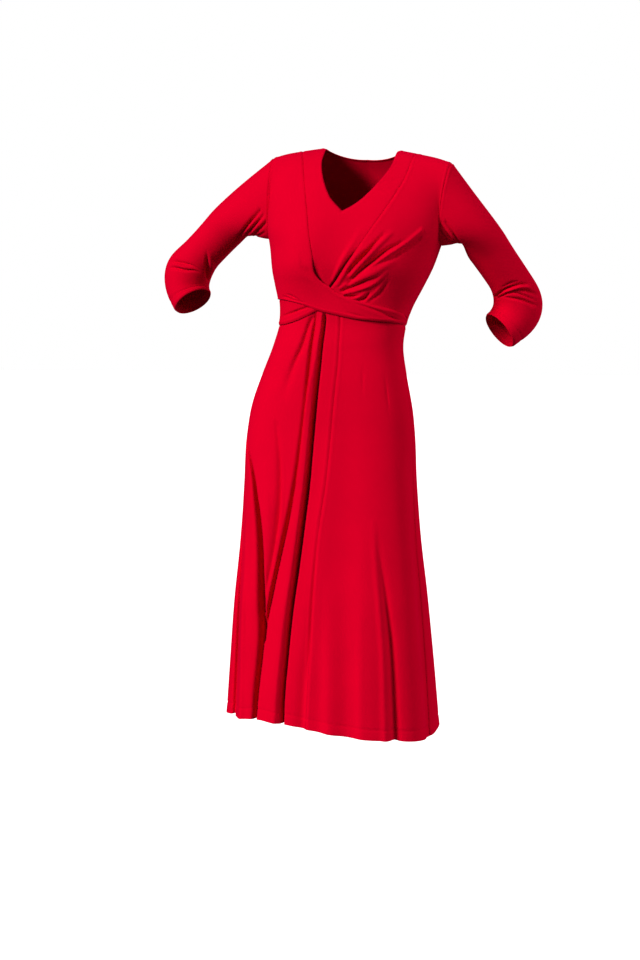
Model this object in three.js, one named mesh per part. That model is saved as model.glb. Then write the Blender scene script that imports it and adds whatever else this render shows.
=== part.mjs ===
// A wrap dress in stretch jersey, hollow as when worn: a V-neck inset between two wraps that twist at
// the waist, a plain back, two three-quarter sleeves with bent elbows, and a three-panel A-line skirt.
// Millimetres, +Z up. The front faces -Y and the wearer's left is +X. The origin is the middle of the
// neck at shoulder height, where the wearer holds the dress up.
import * as THREE from 'three';

// Cloth and seams
const CLOTH = 2;
const SEAM_GAP = 0.3;
const LAYER = 3.5;          // from one layer of cloth to the next where pieces lie on each other
const LAYER_TOP = -196;     // layers part from this level down, fully at the next
const LAYER_FULL = -258;
const SIDE_FADE = 0.12;     // and join again over this share of a turn at the side seams
const TUCK = 8;             // how far an edge runs on under the band that covers it
const TUCK_END = 0.86;      // the turn where the tuck has died out, before the side seams
const TUCK_FADE = 0.2;

// Places on the dress are given as a turn and a level. A turn of 0 is the front, 1 the left side seam,
// 2 the back and -1 the right side seam. A level is a height, but follows the cloth over the shoulders:
// 0 is the shoulder seam.
const ONCE_ROUND = 4;
const ARMPIT = -186;
const SHOULDER_HALF = 176;
const SHOULDER_Y = 6;
const NECK_SHARE = 0.42;    // neck point, as a share of the shoulder's half width

// The hollow form below the armpits, a row for each level
const FORM = [
  { level: -1180, midX: -61, midY: 0, half: 208, front: 190, back: 190 },
  { level: -1000, midX: -62, midY: 0, half: 196, front: 168, back: 168 },
  { level: -880, midX: -63, midY: 0, half: 187, front: 152, back: 152 },
  { level: -760, midX: -63, midY: 0, half: 175, front: 135, back: 136 },
  { level: -650, midX: -63, midY: 0, half: 168, front: 122, back: 128 },
  { level: -560, midX: -62, midY: 0, half: 164, front: 114, back: 126 },
  { level: -500, midX: -59, midY: -2, half: 156, front: 108, back: 122 },
  { level: -440, midX: -53, midY: -4, half: 140, front: 102, back: 112 },
  { level: -385, midX: -45, midY: -4, half: 126, front: 96, back: 98 },
  { level: -345, midX: -36, midY: -2, half: 123, front: 93, back: 90 },
  { level: -310, midX: -29, midY: 0, half: 128, front: 97, back: 90 },
  { level: -270, midX: -23, midY: 2, half: 142, front: 104, back: 94 },
  { level: -230, midX: -18, midY: 4, half: 156, front: 112, back: 100 },
  { level: ARMPIT, midX: -14, midY: 4, half: 168, front: 112, back: 104 },
];
const SQUARENESS = 0.05;
const CUP = { across: 82, level: -212, width: 58, height: 62, out: 24 };

// The shoulder line from the neck's middle outwards
const SHOULDER = [
  { across: 0, level: -2 },
  { across: 74, level: -9 },
  { across: 118, level: -16 },
  { across: 149, level: -22 },
  { across: 176, level: -30 },
];
const TILT = 0.045;         // the left shoulder hangs lower by this slope
const TILT_FOOT = -400;

// The ribs over chest and shoulder blades: how strongly they leave the form below, lean out at the
// armholes and bend over to the shoulder seam
const RIB_START = 8;
const RIB_LIFT = 75;
const RIB_EDGE = 6;
const ARMHOLE_LEAN = { across: 6, deep: 55, up: 12 };
const ROOF_NECK = 70;
const ROOF_ARM = 52;

// The hem's level round the dress
const HEM = [
  { turn: -1, level: -1112 },
  { turn: -0.6, level: -1102 },
  { turn: -0.3, level: -1096 },
  { turn: 0, level: -1107 },
  { turn: 0.3, level: -1122 },
  { turn: 0.6, level: -1134 },
  { turn: 1, level: -1145 },
  { turn: 1.25, level: -1134 },
  { turn: 2, level: -1124 },
  { turn: 3, level: -1112 },
];

// The waist seam round the dress, which is the lower edge of the bands in front
const WAIST = [
  { turn: -1, level: -349 },
  { turn: -0.6, level: -346 },
  { turn: -0.37, level: -337 },
  { turn: -0.23, level: -324 },
  { turn: -0.13, level: -316 },
  { turn: -0.04, level: -321 },
  { turn: 0.06, level: -326 },
  { turn: 0.2, level: -331 },
  { turn: 0.4, level: -335 },
  { turn: 0.6, level: -338 },
  { turn: 0.82, level: -342 },
  { turn: 1, level: -347 },
  { turn: 2, level: -340 },
  { turn: 3, level: -349 },
];

// The right wrap from shoulder to band end, a row for each station along it
const RIGHT_WRAP = [
  { innerTurn: -0.67, innerLevel: 0, outerTurn: -1, outerLevel: 0 },
  { innerTurn: -0.61, innerLevel: -32, outerTurn: -1, outerLevel: -40 },
  { innerTurn: -0.49, innerLevel: -68, outerTurn: -1, outerLevel: -80 },
  { innerTurn: -0.36, innerLevel: -106, outerTurn: -1, outerLevel: -118 },
  { innerTurn: -0.27, innerLevel: -143, outerTurn: -1, outerLevel: -154 },
  { innerTurn: -0.225, innerLevel: -175, outerTurn: -1, outerLevel: ARMPIT },
  { innerTurn: -0.197, innerLevel: -210, outerTurn: -1, outerLevel: -240 },
  { innerTurn: -0.184, innerLevel: -242, outerTurn: -1, outerLevel: -300 },
  { innerTurn: -0.155, innerLevel: -255, outerTurn: -0.82, outerLevel: -299.4 },
  { innerTurn: -0.113, innerLevel: -264, outerTurn: -0.65, outerLevel: -298 },
  { innerTurn: -0.06, innerLevel: -271, outerTurn: -0.48, outerLevel: -300 },
  { innerTurn: -0.01, innerLevel: -279, outerTurn: -0.32, outerLevel: -306 },
  { innerTurn: 0.06, innerLevel: -287, outerTurn: -0.15, outerLevel: -317 },
  { innerTurn: 0.16, innerLevel: -294, outerTurn: 0.04, outerLevel: -325 },
  { innerTurn: 0.28, innerLevel: -300, outerTurn: 0.2, outerLevel: -331 },
  { innerTurn: 0.41, innerLevel: -306, outerTurn: 0.38, outerLevel: -334.7 },
  { innerTurn: 0.6, innerLevel: -314, outerTurn: 0.6, outerLevel: -338 },
  { innerTurn: 0.82, innerLevel: -324, outerTurn: 0.82, outerLevel: -342 },
  { innerTurn: 1, innerLevel: -331, outerTurn: 1, outerLevel: -347 },
];

// The left wrap from shoulder to the end of its band, which runs under the right wrap
const LEFT_WRAP = [
  { innerTurn: 0.62, innerLevel: 0, outerTurn: 1, outerLevel: 0 },
  { innerTurn: 0.575, innerLevel: -38, outerTurn: 1, outerLevel: -40 },
  { innerTurn: 0.49, innerLevel: -78, outerTurn: 1, outerLevel: -80 },
  { innerTurn: 0.375, innerLevel: -114, outerTurn: 1, outerLevel: -118 },
  { innerTurn: 0.27, innerLevel: -148, outerTurn: 1, outerLevel: -154 },
  { innerTurn: 0.18, innerLevel: -180, outerTurn: 1, outerLevel: ARMPIT },
  { innerTurn: 0.105, innerLevel: -215, outerTurn: 1, outerLevel: -232 },
  { innerTurn: 0.03, innerLevel: -248, outerTurn: 1, outerLevel: -280 },
  { innerTurn: -0.03, innerLevel: -270, outerTurn: 1, outerLevel: -330.5 },
  { innerTurn: -0.08, innerLevel: -281, outerTurn: 0.88, outerLevel: -326 },
  { innerTurn: -0.14, innerLevel: -288, outerTurn: 0.6, outerLevel: -321 },
  { innerTurn: -0.17, innerLevel: -291, outerTurn: 0.42, outerLevel: -314 },
  { innerTurn: -0.21, innerLevel: -293, outerTurn: 0.24, outerLevel: -306 },
  { innerTurn: -0.27, innerLevel: -296, outerTurn: 0.05, outerLevel: -312 },
  { innerTurn: -0.36, innerLevel: -294, outerTurn: -0.13, outerLevel: -316 },
  { innerTurn: -0.46, innerLevel: -292, outerTurn: -0.25, outerLevel: -327 },
  { innerTurn: -0.55, innerLevel: -292, outerTurn: -0.38, outerLevel: -337.6 },
  { innerTurn: -0.64, innerLevel: -295, outerTurn: -0.53, outerLevel: -344.5 },
  { innerTurn: -0.75, innerLevel: -300.2, outerTurn: -0.68, outerLevel: -346.6 },
  { innerTurn: -0.87, innerLevel: -300.8, outerTurn: -0.84, outerLevel: -347.8 },
  { innerTurn: -1, innerLevel: -300.8, outerTurn: -1, outerLevel: -349 },
];

// The neckline on each side, station by station, down to the V's point
const NECK_RIGHT = [
  { turn: -NECK_SHARE, level: 0 },
  { turn: -0.375, level: -20 },
  { turn: -0.345, level: -40 },
  { turn: -0.315, level: -60 },
  { turn: -0.265, level: -80 },
  { turn: -0.2, level: -101 },
  { turn: -0.13, level: -121 },
  { turn: -0.07, level: -133 },
  { turn: -0.01, level: -143 },
];
const NECK_LEFT = [
  { turn: NECK_SHARE, level: 0 },
  { turn: 0.41, level: -20 },
  { turn: 0.39, level: -42 },
  { turn: 0.355, level: -64 },
  { turn: 0.295, level: -84 },
  { turn: 0.225, level: -102 },
  { turn: 0.145, level: -120 },
  { turn: 0.07, level: -133 },
  { turn: -0.01, level: -143 },
];
const INSET_FOOT = { turn: -0.07, level: -284 };
const NECK_STATIONS = NECK_RIGHT.length - 1;
const BACK_NECK_DEPTH = 52;

// The seam between the front skirt panels
const FRONT_SEAM = [
  { level: -1180, turn: -0.01 },
  { level: -935, turn: 0.01 },
  { level: -847, turn: 0.02 },
  { level: -736, turn: 0.05 },
  { level: -626, turn: 0.1 },
  { level: -515, turn: 0.125 },
  { level: -414, turn: 0.14 },
  { level: -310, turn: 0.06 },
];

// The sleeves: their radius along the middle line, and the elbow
const SLEEVE = [
  { along: 0, radius: 56 },
  { along: 0.25, radius: 44 },
  { along: 0.6, radius: 39.5 },
  { along: 0.8, radius: 42 },
  { along: 1, radius: 39.5 },
];
const ELBOW_BEFORE = 95;    // the bend starts this far before the elbow's corner
const ELBOW_POINT = { along: 0.82, spread: 0.11, out: 15 };
// The largest creases of the sleeves: where they lie, their half length and half breadth, and how far
// the cloth goes in or out there. An angle is a share of the way round, 0 at the shoulder, 0.25 in front.
const CREASES_RIGHT = [
  { around: 0.42, along: 0.7, long: 0.2, broad: 0.03, lean: -0.25, out: -5 },
  { around: 0.3, along: 0.66, long: 0.16, broad: 0.03, lean: 0.35, out: -3 },
  { around: 0.2, along: 0.62, long: 0.16, broad: 0.035, lean: 0.2, out: 2.5 },
  { around: 0.42, along: 0.3, long: 0.14, broad: 0.04, lean: 0.5, out: -3.5 },
  { around: 0.36, along: 0.2, long: 0.12, broad: 0.035, lean: 0.6, out: -3 },
  { around: 0.78, along: 0.7, long: 0.14, broad: 0.035, lean: 0.2, out: -3 },
];
const CREASES_LEFT = [
  { around: 0.36, along: 0.68, long: 0.18, broad: 0.03, lean: -0.2, out: -5 },
  { around: 0.26, along: 0.62, long: 0.16, broad: 0.03, lean: 0.3, out: -3 },
  { around: 0.3, along: 0.76, long: 0.16, broad: 0.03, lean: 0.1, out: -3 },
  { around: 0.4, along: 0.24, long: 0.14, broad: 0.04, lean: 0.5, out: -3.5 },
  { around: 0.34, along: 0.16, long: 0.12, broad: 0.035, lean: 0.6, out: -3 },
  { around: 0.78, along: 0.7, long: 0.14, broad: 0.035, lean: 0.2, out: -3 },
];
// The arms: the middle of the sleeve at shoulder, elbow and cuff
const ARM_RIGHT = {
  side: -1,
  shoulder: [-212, 14, -89],
  elbow: [-410, 118, -251],
  cuff: [-375, 97, -300],
  creases: CREASES_RIGHT,
};
const ARM_LEFT = {
  side: 1,
  shoulder: [183, 12, -109],
  elbow: [300, 160, -312],
  cuff: [249, 121, -357],
  creases: CREASES_LEFT,
};
// The sleeve's head leaves the armhole along the arm, more sideways under it, and turns into the round
// sleeve over this share of its length
const UNDERARM_REACH = 0.85;
const HEAD_STRETCH = 0.8;
const HEAD_SHARE = 0.38;

// Cells: how finely each wall is divided
const STATION_CELLS = 2;
const ELBOW_CROWD = 0.45;
const WRAP_ACROSS = 9;
const INSET_ACROSS = 5;
const BACK_ACROSS = 16;
const SLEEVE_RINGS = 20;
const SKIRT_ROWS = 17;
const SKIRT_RIGHT_ACROSS = 24;
const SKIRT_LEFT_ACROSS = 16;
const SKIRT_BACK_ACROSS = 26;
const FAN_TOP = 1.4;        // the right panel's columns lie closer at its seam, from the waist down
const FAN_REACH = 0.3;
const FAN_CROWD = 0.8;
const LEVEL_PASSES = 3;     // level and turn depend on each other, and agree after these rounds

// The folds, as paths of turn and level. out is how far the cloth stands out (or in, below 0) at the
// path's start, middle and end, and width is half its breadth there.
const FOLDS = [
  { path: [[-0.04, -322], [-0.03, -449], [-0.03, -544], [-0.06, -671], [-0.1, -783], [-0.13, -894],
    [-0.15, -1120]], width: [7, 15, 20], out: [-5, -20, -15] },
  { path: [[-0.1, -322], [-0.15, -449], [-0.14, -561], [-0.17, -672], [-0.24, -754], [-0.3, -875],
    [-0.31, -1120]], width: [7, 17, 22], out: [-4, -13, -18] },
  { path: [[-0.85, -520], [-0.62, -583], [-0.47, -655], [-0.39, -720], [-0.33, -820], [-0.31, -960]],
    width: [16, 22, 20], out: [-2, -13, -2] },
  { path: [[-0.07, -330], [-0.09, -449], [-0.09, -561], [-0.12, -672], [-0.17, -783], [-0.22, -894],
    [-0.23, -1120]], width: [8, 16, 24], out: [3, 9, 15] },
  { path: [[0.0, -330], [0.04, -480], [0.02, -640], [-0.02, -783], [-0.05, -894], [-0.06, -1120]],
    width: [9, 15, 19], out: [3, 8, 10] },
  { path: [[-0.15, -326], [-0.22, -420], [-0.27, -540], [-0.32, -640]], width: [7, 14, 20],
    out: [-3, -6, -1] },
  { path: [[-0.55, -640], [-0.46, -800], [-0.43, -950], [-0.42, -1120]], width: [22, 26, 28],
    out: [2, 10, 12] },
  { path: [[-0.66, -800], [-0.62, -950], [-0.6, -1120]], width: [26, 28, 30], out: [-1, -7, -10] },
  { path: [[0.2, -400], [0.24, -560], [0.24, -760], [0.22, -940], [0.22, -1120]], width: [18, 26, 28],
    out: [-2, -7, -9] },
  { path: [[0.34, -480], [0.42, -720], [0.46, -860], [0.47, -1130]], width: [16, 20, 22],
    out: [-1, -8, -9] },
  { path: [[0.34, -760], [0.35, -900], [0.35, -1130]], width: [22, 26, 28], out: [1, 7, 9] },
  { path: [[0.66, -620], [0.68, -860], [0.7, -1150]], width: [24, 30, 32], out: [1, 7, 10] },
  { path: [[0.9, -600], [0.93, -860], [0.95, -1160]], width: [20, 26, 26], out: [-1, -6, -8] },
  { path: [[1.2, -520], [1.22, -800], [1.24, -1140]], width: [22, 30, 34], out: [1, 5, 9] },
  { path: [[1.42, -480], [1.45, -800], [1.46, -1140]], width: [22, 30, 34], out: [-1, -9, -13] },
  { path: [[1.7, -520], [1.68, -800], [1.67, -1140]], width: [24, 32, 36], out: [1, 9, 14] },
  { path: [[1.93, -460], [1.9, -800], [1.89, -1140]], width: [22, 30, 34], out: [-1, -10, -14] },
  { path: [[2.08, -520], [2.13, -800], [2.14, -1140]], width: [24, 32, 36], out: [1, 9, 14] },
  { path: [[2.34, -480], [2.36, -800], [2.37, -1140]], width: [22, 30, 34], out: [-1, -9, -13] },
  { path: [[2.58, -520], [2.6, -800], [2.61, -1140]], width: [24, 30, 34], out: [1, 9, 13] },
  { path: [[2.82, -560], [2.82, -800], [2.82, -1140]], width: [20, 26, 30], out: [-1, -6, -9] },
  { path: [[-0.05, -276], [0.1, -232], [0.21, -197], [0.28, -160]], width: [4, 8, 8], out: [-2, -5, 0] },
  { path: [[0.0, -281], [0.16, -245], [0.32, -210], [0.44, -168]], width: [4, 8, 10], out: [-2, -6, 0] },
  { path: [[0.04, -285], [0.22, -255], [0.46, -222], [0.66, -184]], width: [4, 9, 12], out: [-2, -6, 0] },
  { path: [[0.08, -288], [0.24, -270], [0.42, -258], [0.6, -244]], width: [4, 8, 12], out: [-2, -5, 0] },
  { path: [[0.14, -292], [0.3, -284], [0.46, -270], [0.6, -262]], width: [4, 8, 10], out: [-1, -4, 0] },
  { path: [[0.02, -276], [0.18, -228], [0.33, -186]], width: [5, 9, 9], out: [2, 4, 0] },
  { path: [[0.06, -281], [0.24, -240], [0.46, -198]], width: [5, 9, 10], out: [2, 4, 0] },
  { path: [[0.1, -285], [0.3, -260], [0.56, -232]], width: [5, 9, 10], out: [2, 4, 0] },
];
const FOLD_STEPS = 24;
const FADE = 34;            // folds die out over this length below the waist seam
const EDGE_CALM = 5;        // gathers die out over one part in this many at a wrap's edges
const GATHER_TOP = -20;     // and over the chest, from this level down
const GATHER_FADE = 60;

// Short steps, to find the direction of the cloth
const STEP_TURN = 0.004;
const STEP_LEVEL = 1;
const STEP_ANGLE = 0.05;
const STEP_SHARE = 0.01;

function smooth(t) {
  const x = Math.min(Math.max(t, 0), 1);
  return x * x * (3 - 2 * x);
}

function mix(a, b, t) {
  return a + (b - a) * t;
}

// The value of a column at a place along a table's key column, on a smooth curve with no overshoot
function along(rows, key, at, column) {
  const last = rows.length - 1;
  const x = Math.min(Math.max(at, rows[0][key]), rows[last][key]);
  let i = 0;
  while (i < last - 1 && x > rows[i + 1][key]) i += 1;
  const width = (k) => rows[k + 1][key] - rows[k][key];
  const rate = (k) => (rows[k + 1][column] - rows[k][column]) / width(k);
  const slope = (k) => {
    if (k === 0) return rate(0);
    if (k === last) return rate(last - 1);
    const [before, after] = [rate(k - 1), rate(k)];
    if (before * after <= 0) return 0;
    const mean = (width(k - 1) * after + width(k) * before) / (width(k - 1) + width(k));
    const limit = 3 * Math.min(Math.abs(before), Math.abs(after));
    return Math.sign(mean) * Math.min(Math.abs(mean), limit);
  };
  const h = width(i);
  const t = (x - rows[i][key]) / h;
  const [t2, t3] = [t * t, t * t * t];
  return (2 * t3 - 3 * t2 + 1) * rows[i][column] + (t3 - 2 * t2 + t) * h * slope(i)
    + (3 * t2 - 2 * t3) * rows[i + 1][column] + (t3 - t2) * h * slope(i + 1);
}

// A point of the form below the armpits
function trunk(turn, level) {
  const angle = turn * Math.PI / 2;
  const [sin, cos] = [Math.sin(angle), Math.cos(angle)];
  const square = 1 + SQUARENESS * Math.sin(2 * angle) ** 2;
  const at = (column) => along(FORM, 'level', level, column);
  const depth = cos >= 0 ? at('front') : at('back');
  const across = at('half') * sin * square;
  const cup = (place) => Math.exp(-(((across - place) / CUP.width) ** 2)
    - (((level - CUP.level) / CUP.height) ** 2));
  const out = CUP.out * Math.max(cos, 0) * (cup(CUP.across) + cup(-CUP.across));
  return new THREE.Vector3(at('midX') + across, at('midY') - depth * cos * square - out, level);
}

// A point over the chest or the shoulder blades, on a rib that runs from armpit level (rise 0) to the
// shoulder seam (rise 1). The ribs leave the form below smoothly, but at the armholes they lean out.
function rib(share, back, rise) {
  const facing = back ? 1 : -1;
  const turn = back ? 2 - share : share;
  const edge = Math.abs(share) ** RIB_EDGE;
  const start = trunk(turn, ARMPIT);
  const below = trunk(turn, ARMPIT - RIB_START);
  const lift = start.clone().sub(below).multiplyScalar(RIB_LIFT / RIB_START);
  const lean = new THREE.Vector3(
    -ARMHOLE_LEAN.across * Math.sign(share), facing * ARMHOLE_LEAN.deep, ARMHOLE_LEAN.up);
  lift.lerp(lean, edge);
  const across = share * SHOULDER_HALF;
  const top = new THREE.Vector3(
    across, SHOULDER_Y, along(SHOULDER, 'across', Math.abs(across), 'level'));
  const roof = facing * mix(ROOF_NECK, ROOF_ARM, Math.abs(share));
  return new THREE.CubicBezierCurve3(
    start,
    start.clone().add(lift),
    top.clone().add(new THREE.Vector3(0, roof, 0)),
    top,
  ).getPoint(rise);
}

// The smooth form of the whole dress body, with no folds. At the side seams front and back differ over
// the armholes, so back says which one is meant there.
function body(turn, level, back = turn > 1) {
  const share = back ? 2 - turn : turn;
  const point = level > ARMPIT ? rib(share, back, 1 - level / ARMPIT) : trunk(turn, level);
  point.z -= TILT * point.x * smooth((level - TILT_FOOT) / (ARMPIT - TILT_FOOT));
  return point;
}

// The direction out of the cloth, from short steps across and up. The steps stay on one side's form.
function bodyNormal(turn, level) {
  const back = turn > 1;
  const [low, high] = back ? [1, 3] : [-1, 1];
  const across = body(Math.min(turn + STEP_TURN, high), level, back)
    .sub(body(Math.max(turn - STEP_TURN, low), level, back));
  const up = body(turn, Math.min(level + STEP_LEVEL, 0), back)
    .sub(body(turn, level - STEP_LEVEL, back));
  return across.cross(up).normalize();
}

// A quarter of the way round the dress at a level, to turn turns into millimetres
function quarter(level) {
  const low = Math.min(level, ARMPIT);
  const half = along(FORM, 'level', low, 'half');
  const front = along(FORM, 'level', low, 'front');
  const round = Math.PI / 2 * Math.sqrt((half * half + front * front) / 2);
  return level > ARMPIT ? mix(round, SHOULDER_HALF, 1 - level / ARMPIT) : round;
}

function flat(turn, level) {
  return new THREE.Vector3(turn * quarter(level), level, 0);
}

const FOLD_LINES = FOLDS.map((fold) => {
  const curve = new THREE.CatmullRomCurve3(fold.path.map(([turn, level]) => flat(turn, level)));
  return { ...fold, points: curve.getSpacedPoints(FOLD_STEPS), length: curve.getLength() };
});

function threeWay([start, middle, end], t) {
  return t < 0.5 ? mix(start, middle, smooth(t * 2)) : mix(middle, end, smooth(t * 2 - 1));
}

// How far the folds move the cloth out at a place
function folds(turn, level) {
  const place = flat(turn, level);
  const once = flat(ONCE_ROUND, level).x;
  let out = 0;
  for (const fold of FOLD_LINES) {
    for (const shift of [0, -once, once]) {
      const x = place.x + shift;
      let best = Infinity;
      let share = 0;
      for (let i = 0; i < FOLD_STEPS; i += 1) {
        const [a, b] = [fold.points[i], fold.points[i + 1]];
        const [dx, dy] = [b.x - a.x, b.y - a.y];
        const t = Math.min(Math.max(((x - a.x) * dx + (level - a.y) * dy) / (dx * dx + dy * dy), 0), 1);
        const gap = Math.hypot(x - a.x - t * dx, level - a.y - t * dy);
        if (gap < best) {
          best = gap;
          share = (i + t) / FOLD_STEPS;
        }
      }
      const width = threeWay(fold.width, share);
      out += threeWay(fold.out, share) * Math.exp(-((best / width) ** 2));
    }
  }
  return out;
}

// Folds die out towards the waist seam
function calm(level, seamLevel) {
  return smooth((seamLevel - level) / FADE);
}

// How far a layer stands off the form. It comes back to the form at the side seams, where the pieces
// lie side by side.
function lift(layers, turn, level) {
  const down = smooth((LAYER_TOP - level) / (LAYER_TOP - LAYER_FULL));
  return layers * LAYER * down * smooth((1 - Math.abs(turn)) / SIDE_FADE);
}

function waist(turn) {
  return along(WAIST, 'turn', turn, 'level');
}

function hem(turn) {
  return along(HEM, 'turn', turn, 'level');
}

// A point of the cloth, out from the form, with the direction out of the dress there
function clothPoint(turn, level, out) {
  const normal = bodyNormal(turn, level);
  const point = body(turn, level).addScaledVector(normal, out);
  return { point, normal };
}

// A closed wall of cloth from a grid of points and normals. round joins the last column to the first.
function wall(grid, round = false) {
  const rows = grid.length;
  const columns = grid[0].length;
  const positions = [];
  for (const side of [1, -1]) {
    for (const row of grid) {
      for (const { point, normal } of row) {
        const moved = point.clone().addScaledVector(normal, side * CLOTH / 2);
        positions.push(moved.x, moved.y, moved.z);
      }
    }
  }
  const inside = rows * columns;
  const at = (row, column) => row * columns + (column % columns);
  const faces = [];
  const quad = (a, b, c, d) => faces.push(a, b, c, a, c, d);
  const spans = round ? columns : columns - 1;
  for (let r = 0; r < rows - 1; r += 1) {
    for (let c = 0; c < spans; c += 1) {
      const corners = [at(r, c), at(r, c + 1), at(r + 1, c + 1), at(r + 1, c)];
      quad(...corners);
      quad(...corners.reverse().map((corner) => corner + inside));
    }
  }
  const rim = (a, b) => quad(b, a, a + inside, b + inside);
  for (let c = 0; c < spans; c += 1) {
    rim(at(0, c), at(0, c + 1));
    rim(at(rows - 1, c + 1), at(rows - 1, c));
  }
  if (!round) {
    for (let r = 0; r < rows - 1; r += 1) {
      rim(at(r + 1, 0), at(r, 0));
      rim(at(r, columns - 1), at(r + 1, columns - 1));
    }
  }
  const middle = grid[Math.floor(rows / 2)];
  const here = middle[Math.floor(columns / 2)];
  const next = middle[Math.floor(columns / 2) + 1].point.clone().sub(here.point);
  const under = grid[Math.floor(rows / 2) + 1][Math.floor(columns / 2)].point.clone().sub(here.point);
  if (next.cross(under).dot(here.normal) < 0) faces.reverse();
  const geometry = new THREE.BufferGeometry();
  geometry.setAttribute('position', new THREE.Float32BufferAttribute(positions, 3));
  geometry.setIndex(faces);
  geometry.computeVertexNormals();
  return geometry;
}

// Rows of a table as stations, with the same number of cells between each two
function stations(rows, columns) {
  const numbered = rows.map((row, number) => ({ ...row, number }));
  const places = [];
  for (let i = 0; i <= (rows.length - 1) * STATION_CELLS; i += 1) {
    const at = i / STATION_CELLS;
    places.push(Object.fromEntries(columns.map((name) => [name, along(numbered, 'number', at, name)])));
  }
  return places;
}

// A turn moved sideways by half a seam's gap
function nudge(turn, level, way) {
  return turn + way * SEAM_GAP / 2 / quarter(level);
}

const WRAP_COLUMNS = ['innerTurn', 'innerLevel', 'outerTurn', 'outerLevel'];

// A wrap: a strip from the shoulder over the chest to the end of its band. Its gathers die out towards
// its edges and above the chest.
function wrap(rows, side, layers, gathered) {
  const seamEnd = NECK_STATIONS * STATION_CELLS;
  return wall(stations(rows, WRAP_COLUMNS).map((station, number) => {
    const row = [];
    for (let c = 0; c <= WRAP_ACROSS; c += 1) {
      const share = c / WRAP_ACROSS;
      const level = Math.min(
        mix(station.innerLevel, station.outerLevel, share), -SEAM_GAP / 2);
      let turn = mix(station.innerTurn, station.outerTurn, share);
      if (c === 0 && number < seamEnd) turn = nudge(turn, level, side);
      const sideEdge = nudge(1, level, -1);
      turn = Math.min(Math.max(turn, -sideEdge), sideEdge);
      const calmed = smooth(share * EDGE_CALM) * smooth((1 - share) * EDGE_CALM)
        * smooth((GATHER_TOP - level) / GATHER_FADE);
      const relief = gathered ? folds(turn, level) * calmed : 0;
      row.push(clothPoint(turn, level, lift(layers, turn, level) + relief));
    }
    return row;
  }));
}

// The inset: a strip down one side of the V and up the other, mitred below its point
function inset() {
  const half = (neck, wrapRows, side) => {
    const rows = neck.map((place, number) => {
      const seam = number < NECK_STATIONS
        ? { turn: wrapRows[number].innerTurn, level: wrapRows[number].innerLevel }
        : INSET_FOOT;
      return {
        innerTurn: place.turn, innerLevel: place.level, outerTurn: seam.turn, outerLevel: seam.level,
      };
    });
    return stations(rows, WRAP_COLUMNS).map((station, number) => {
      const row = [];
      for (let c = 0; c <= INSET_ACROSS; c += 1) {
        const share = c / INSET_ACROSS;
        let turn = mix(station.innerTurn, station.outerTurn, share);
        const level = mix(station.innerLevel, station.outerLevel, share);
        const atFoot = number === NECK_STATIONS * STATION_CELLS;
        if (c === INSET_ACROSS && !atFoot) turn = nudge(turn, level, -side);
        row.push(clothPoint(turn, Math.min(level, -SEAM_GAP / 2), 0));
      }
      return row;
    });
  };
  const right = half(NECK_RIGHT, RIGHT_WRAP, -1);
  const left = half(NECK_LEFT, LEFT_WRAP, 1).reverse();
  return wall([...right, ...left.slice(1)]);
}

// The back's upper edge: the shoulder seams, and the neck's shallow scoop between them
function backTop(share) {
  const part = Math.min(Math.abs(share) / NECK_SHARE, 1);
  return -SEAM_GAP / 2 - BACK_NECK_DEPTH * Math.sqrt(1 - part * part);
}

const ARMHOLE_LEVELS = RIGHT_WRAP.slice(0, 6).map((row) => row.outerLevel);
const BACK_LEVELS = [...ARMHOLE_LEVELS, -232, -288, -349];

function backBodice() {
  const foot = BACK_LEVELS[BACK_LEVELS.length - 1];
  const rows = stations(BACK_LEVELS.map((level) => ({ level })), ['level']);
  return wall(rows.map(({ level: side }) => {
    const row = [];
    for (let c = 0; c <= BACK_ACROSS; c += 1) {
      let turn = 1 + 2 * c / BACK_ACROSS;
      if (c === 0) turn = nudge(1, side, 1);
      if (c === BACK_ACROSS) turn = nudge(3, side, -1);
      const top = backTop(2 - turn);
      const bottom = waist(turn) + SEAM_GAP / 2;
      const level = c === 0 || c === BACK_ACROSS
        ? Math.min(top, side * bottom / foot)
        : mix(top, bottom, side / foot);
      row.push(clothPoint(turn, level, 0));
    }
    return row;
  }));
}

// A skirt panel between two seams, from just under the bands (or the back's waist seam) to the hem
function skirtPanel(from, to, across, tucked, crowd) {
  const rows = [];
  for (let r = 0; r <= SKIRT_ROWS; r += 1) {
    const down = r / SKIRT_ROWS;
    const row = [];
    for (let c = 0; c <= across; c += 1) {
      const share = c / across;
      const placed = crowd(share, down);
      let level = mix(waist(0), hem(0), down);
      let turn = 0;
      for (let pass = 0; pass < LEVEL_PASSES; pass += 1) {
        turn = mix(from(level), to(level), placed);
        const top = tucked ? waist(turn) + tuck(turn) : waist(turn) - SEAM_GAP / 2;
        level = mix(top, hem(turn), down);
      }
      if (c === 0) turn = nudge(turn, level, 1);
      if (c === across) turn = nudge(turn, level, -1);
      const relief = folds(turn, level) * calm(level, waist(turn));
      row.push(clothPoint(turn, level, relief));
    }
    rows.push(row);
  }
  return wall(rows);
}

// How far an edge runs on under its band: nothing near the side seams
function tuck(turn) {
  return TUCK * smooth((TUCK_END - Math.abs(turn)) / TUCK_FADE) - SEAM_GAP / 2;
}

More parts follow.
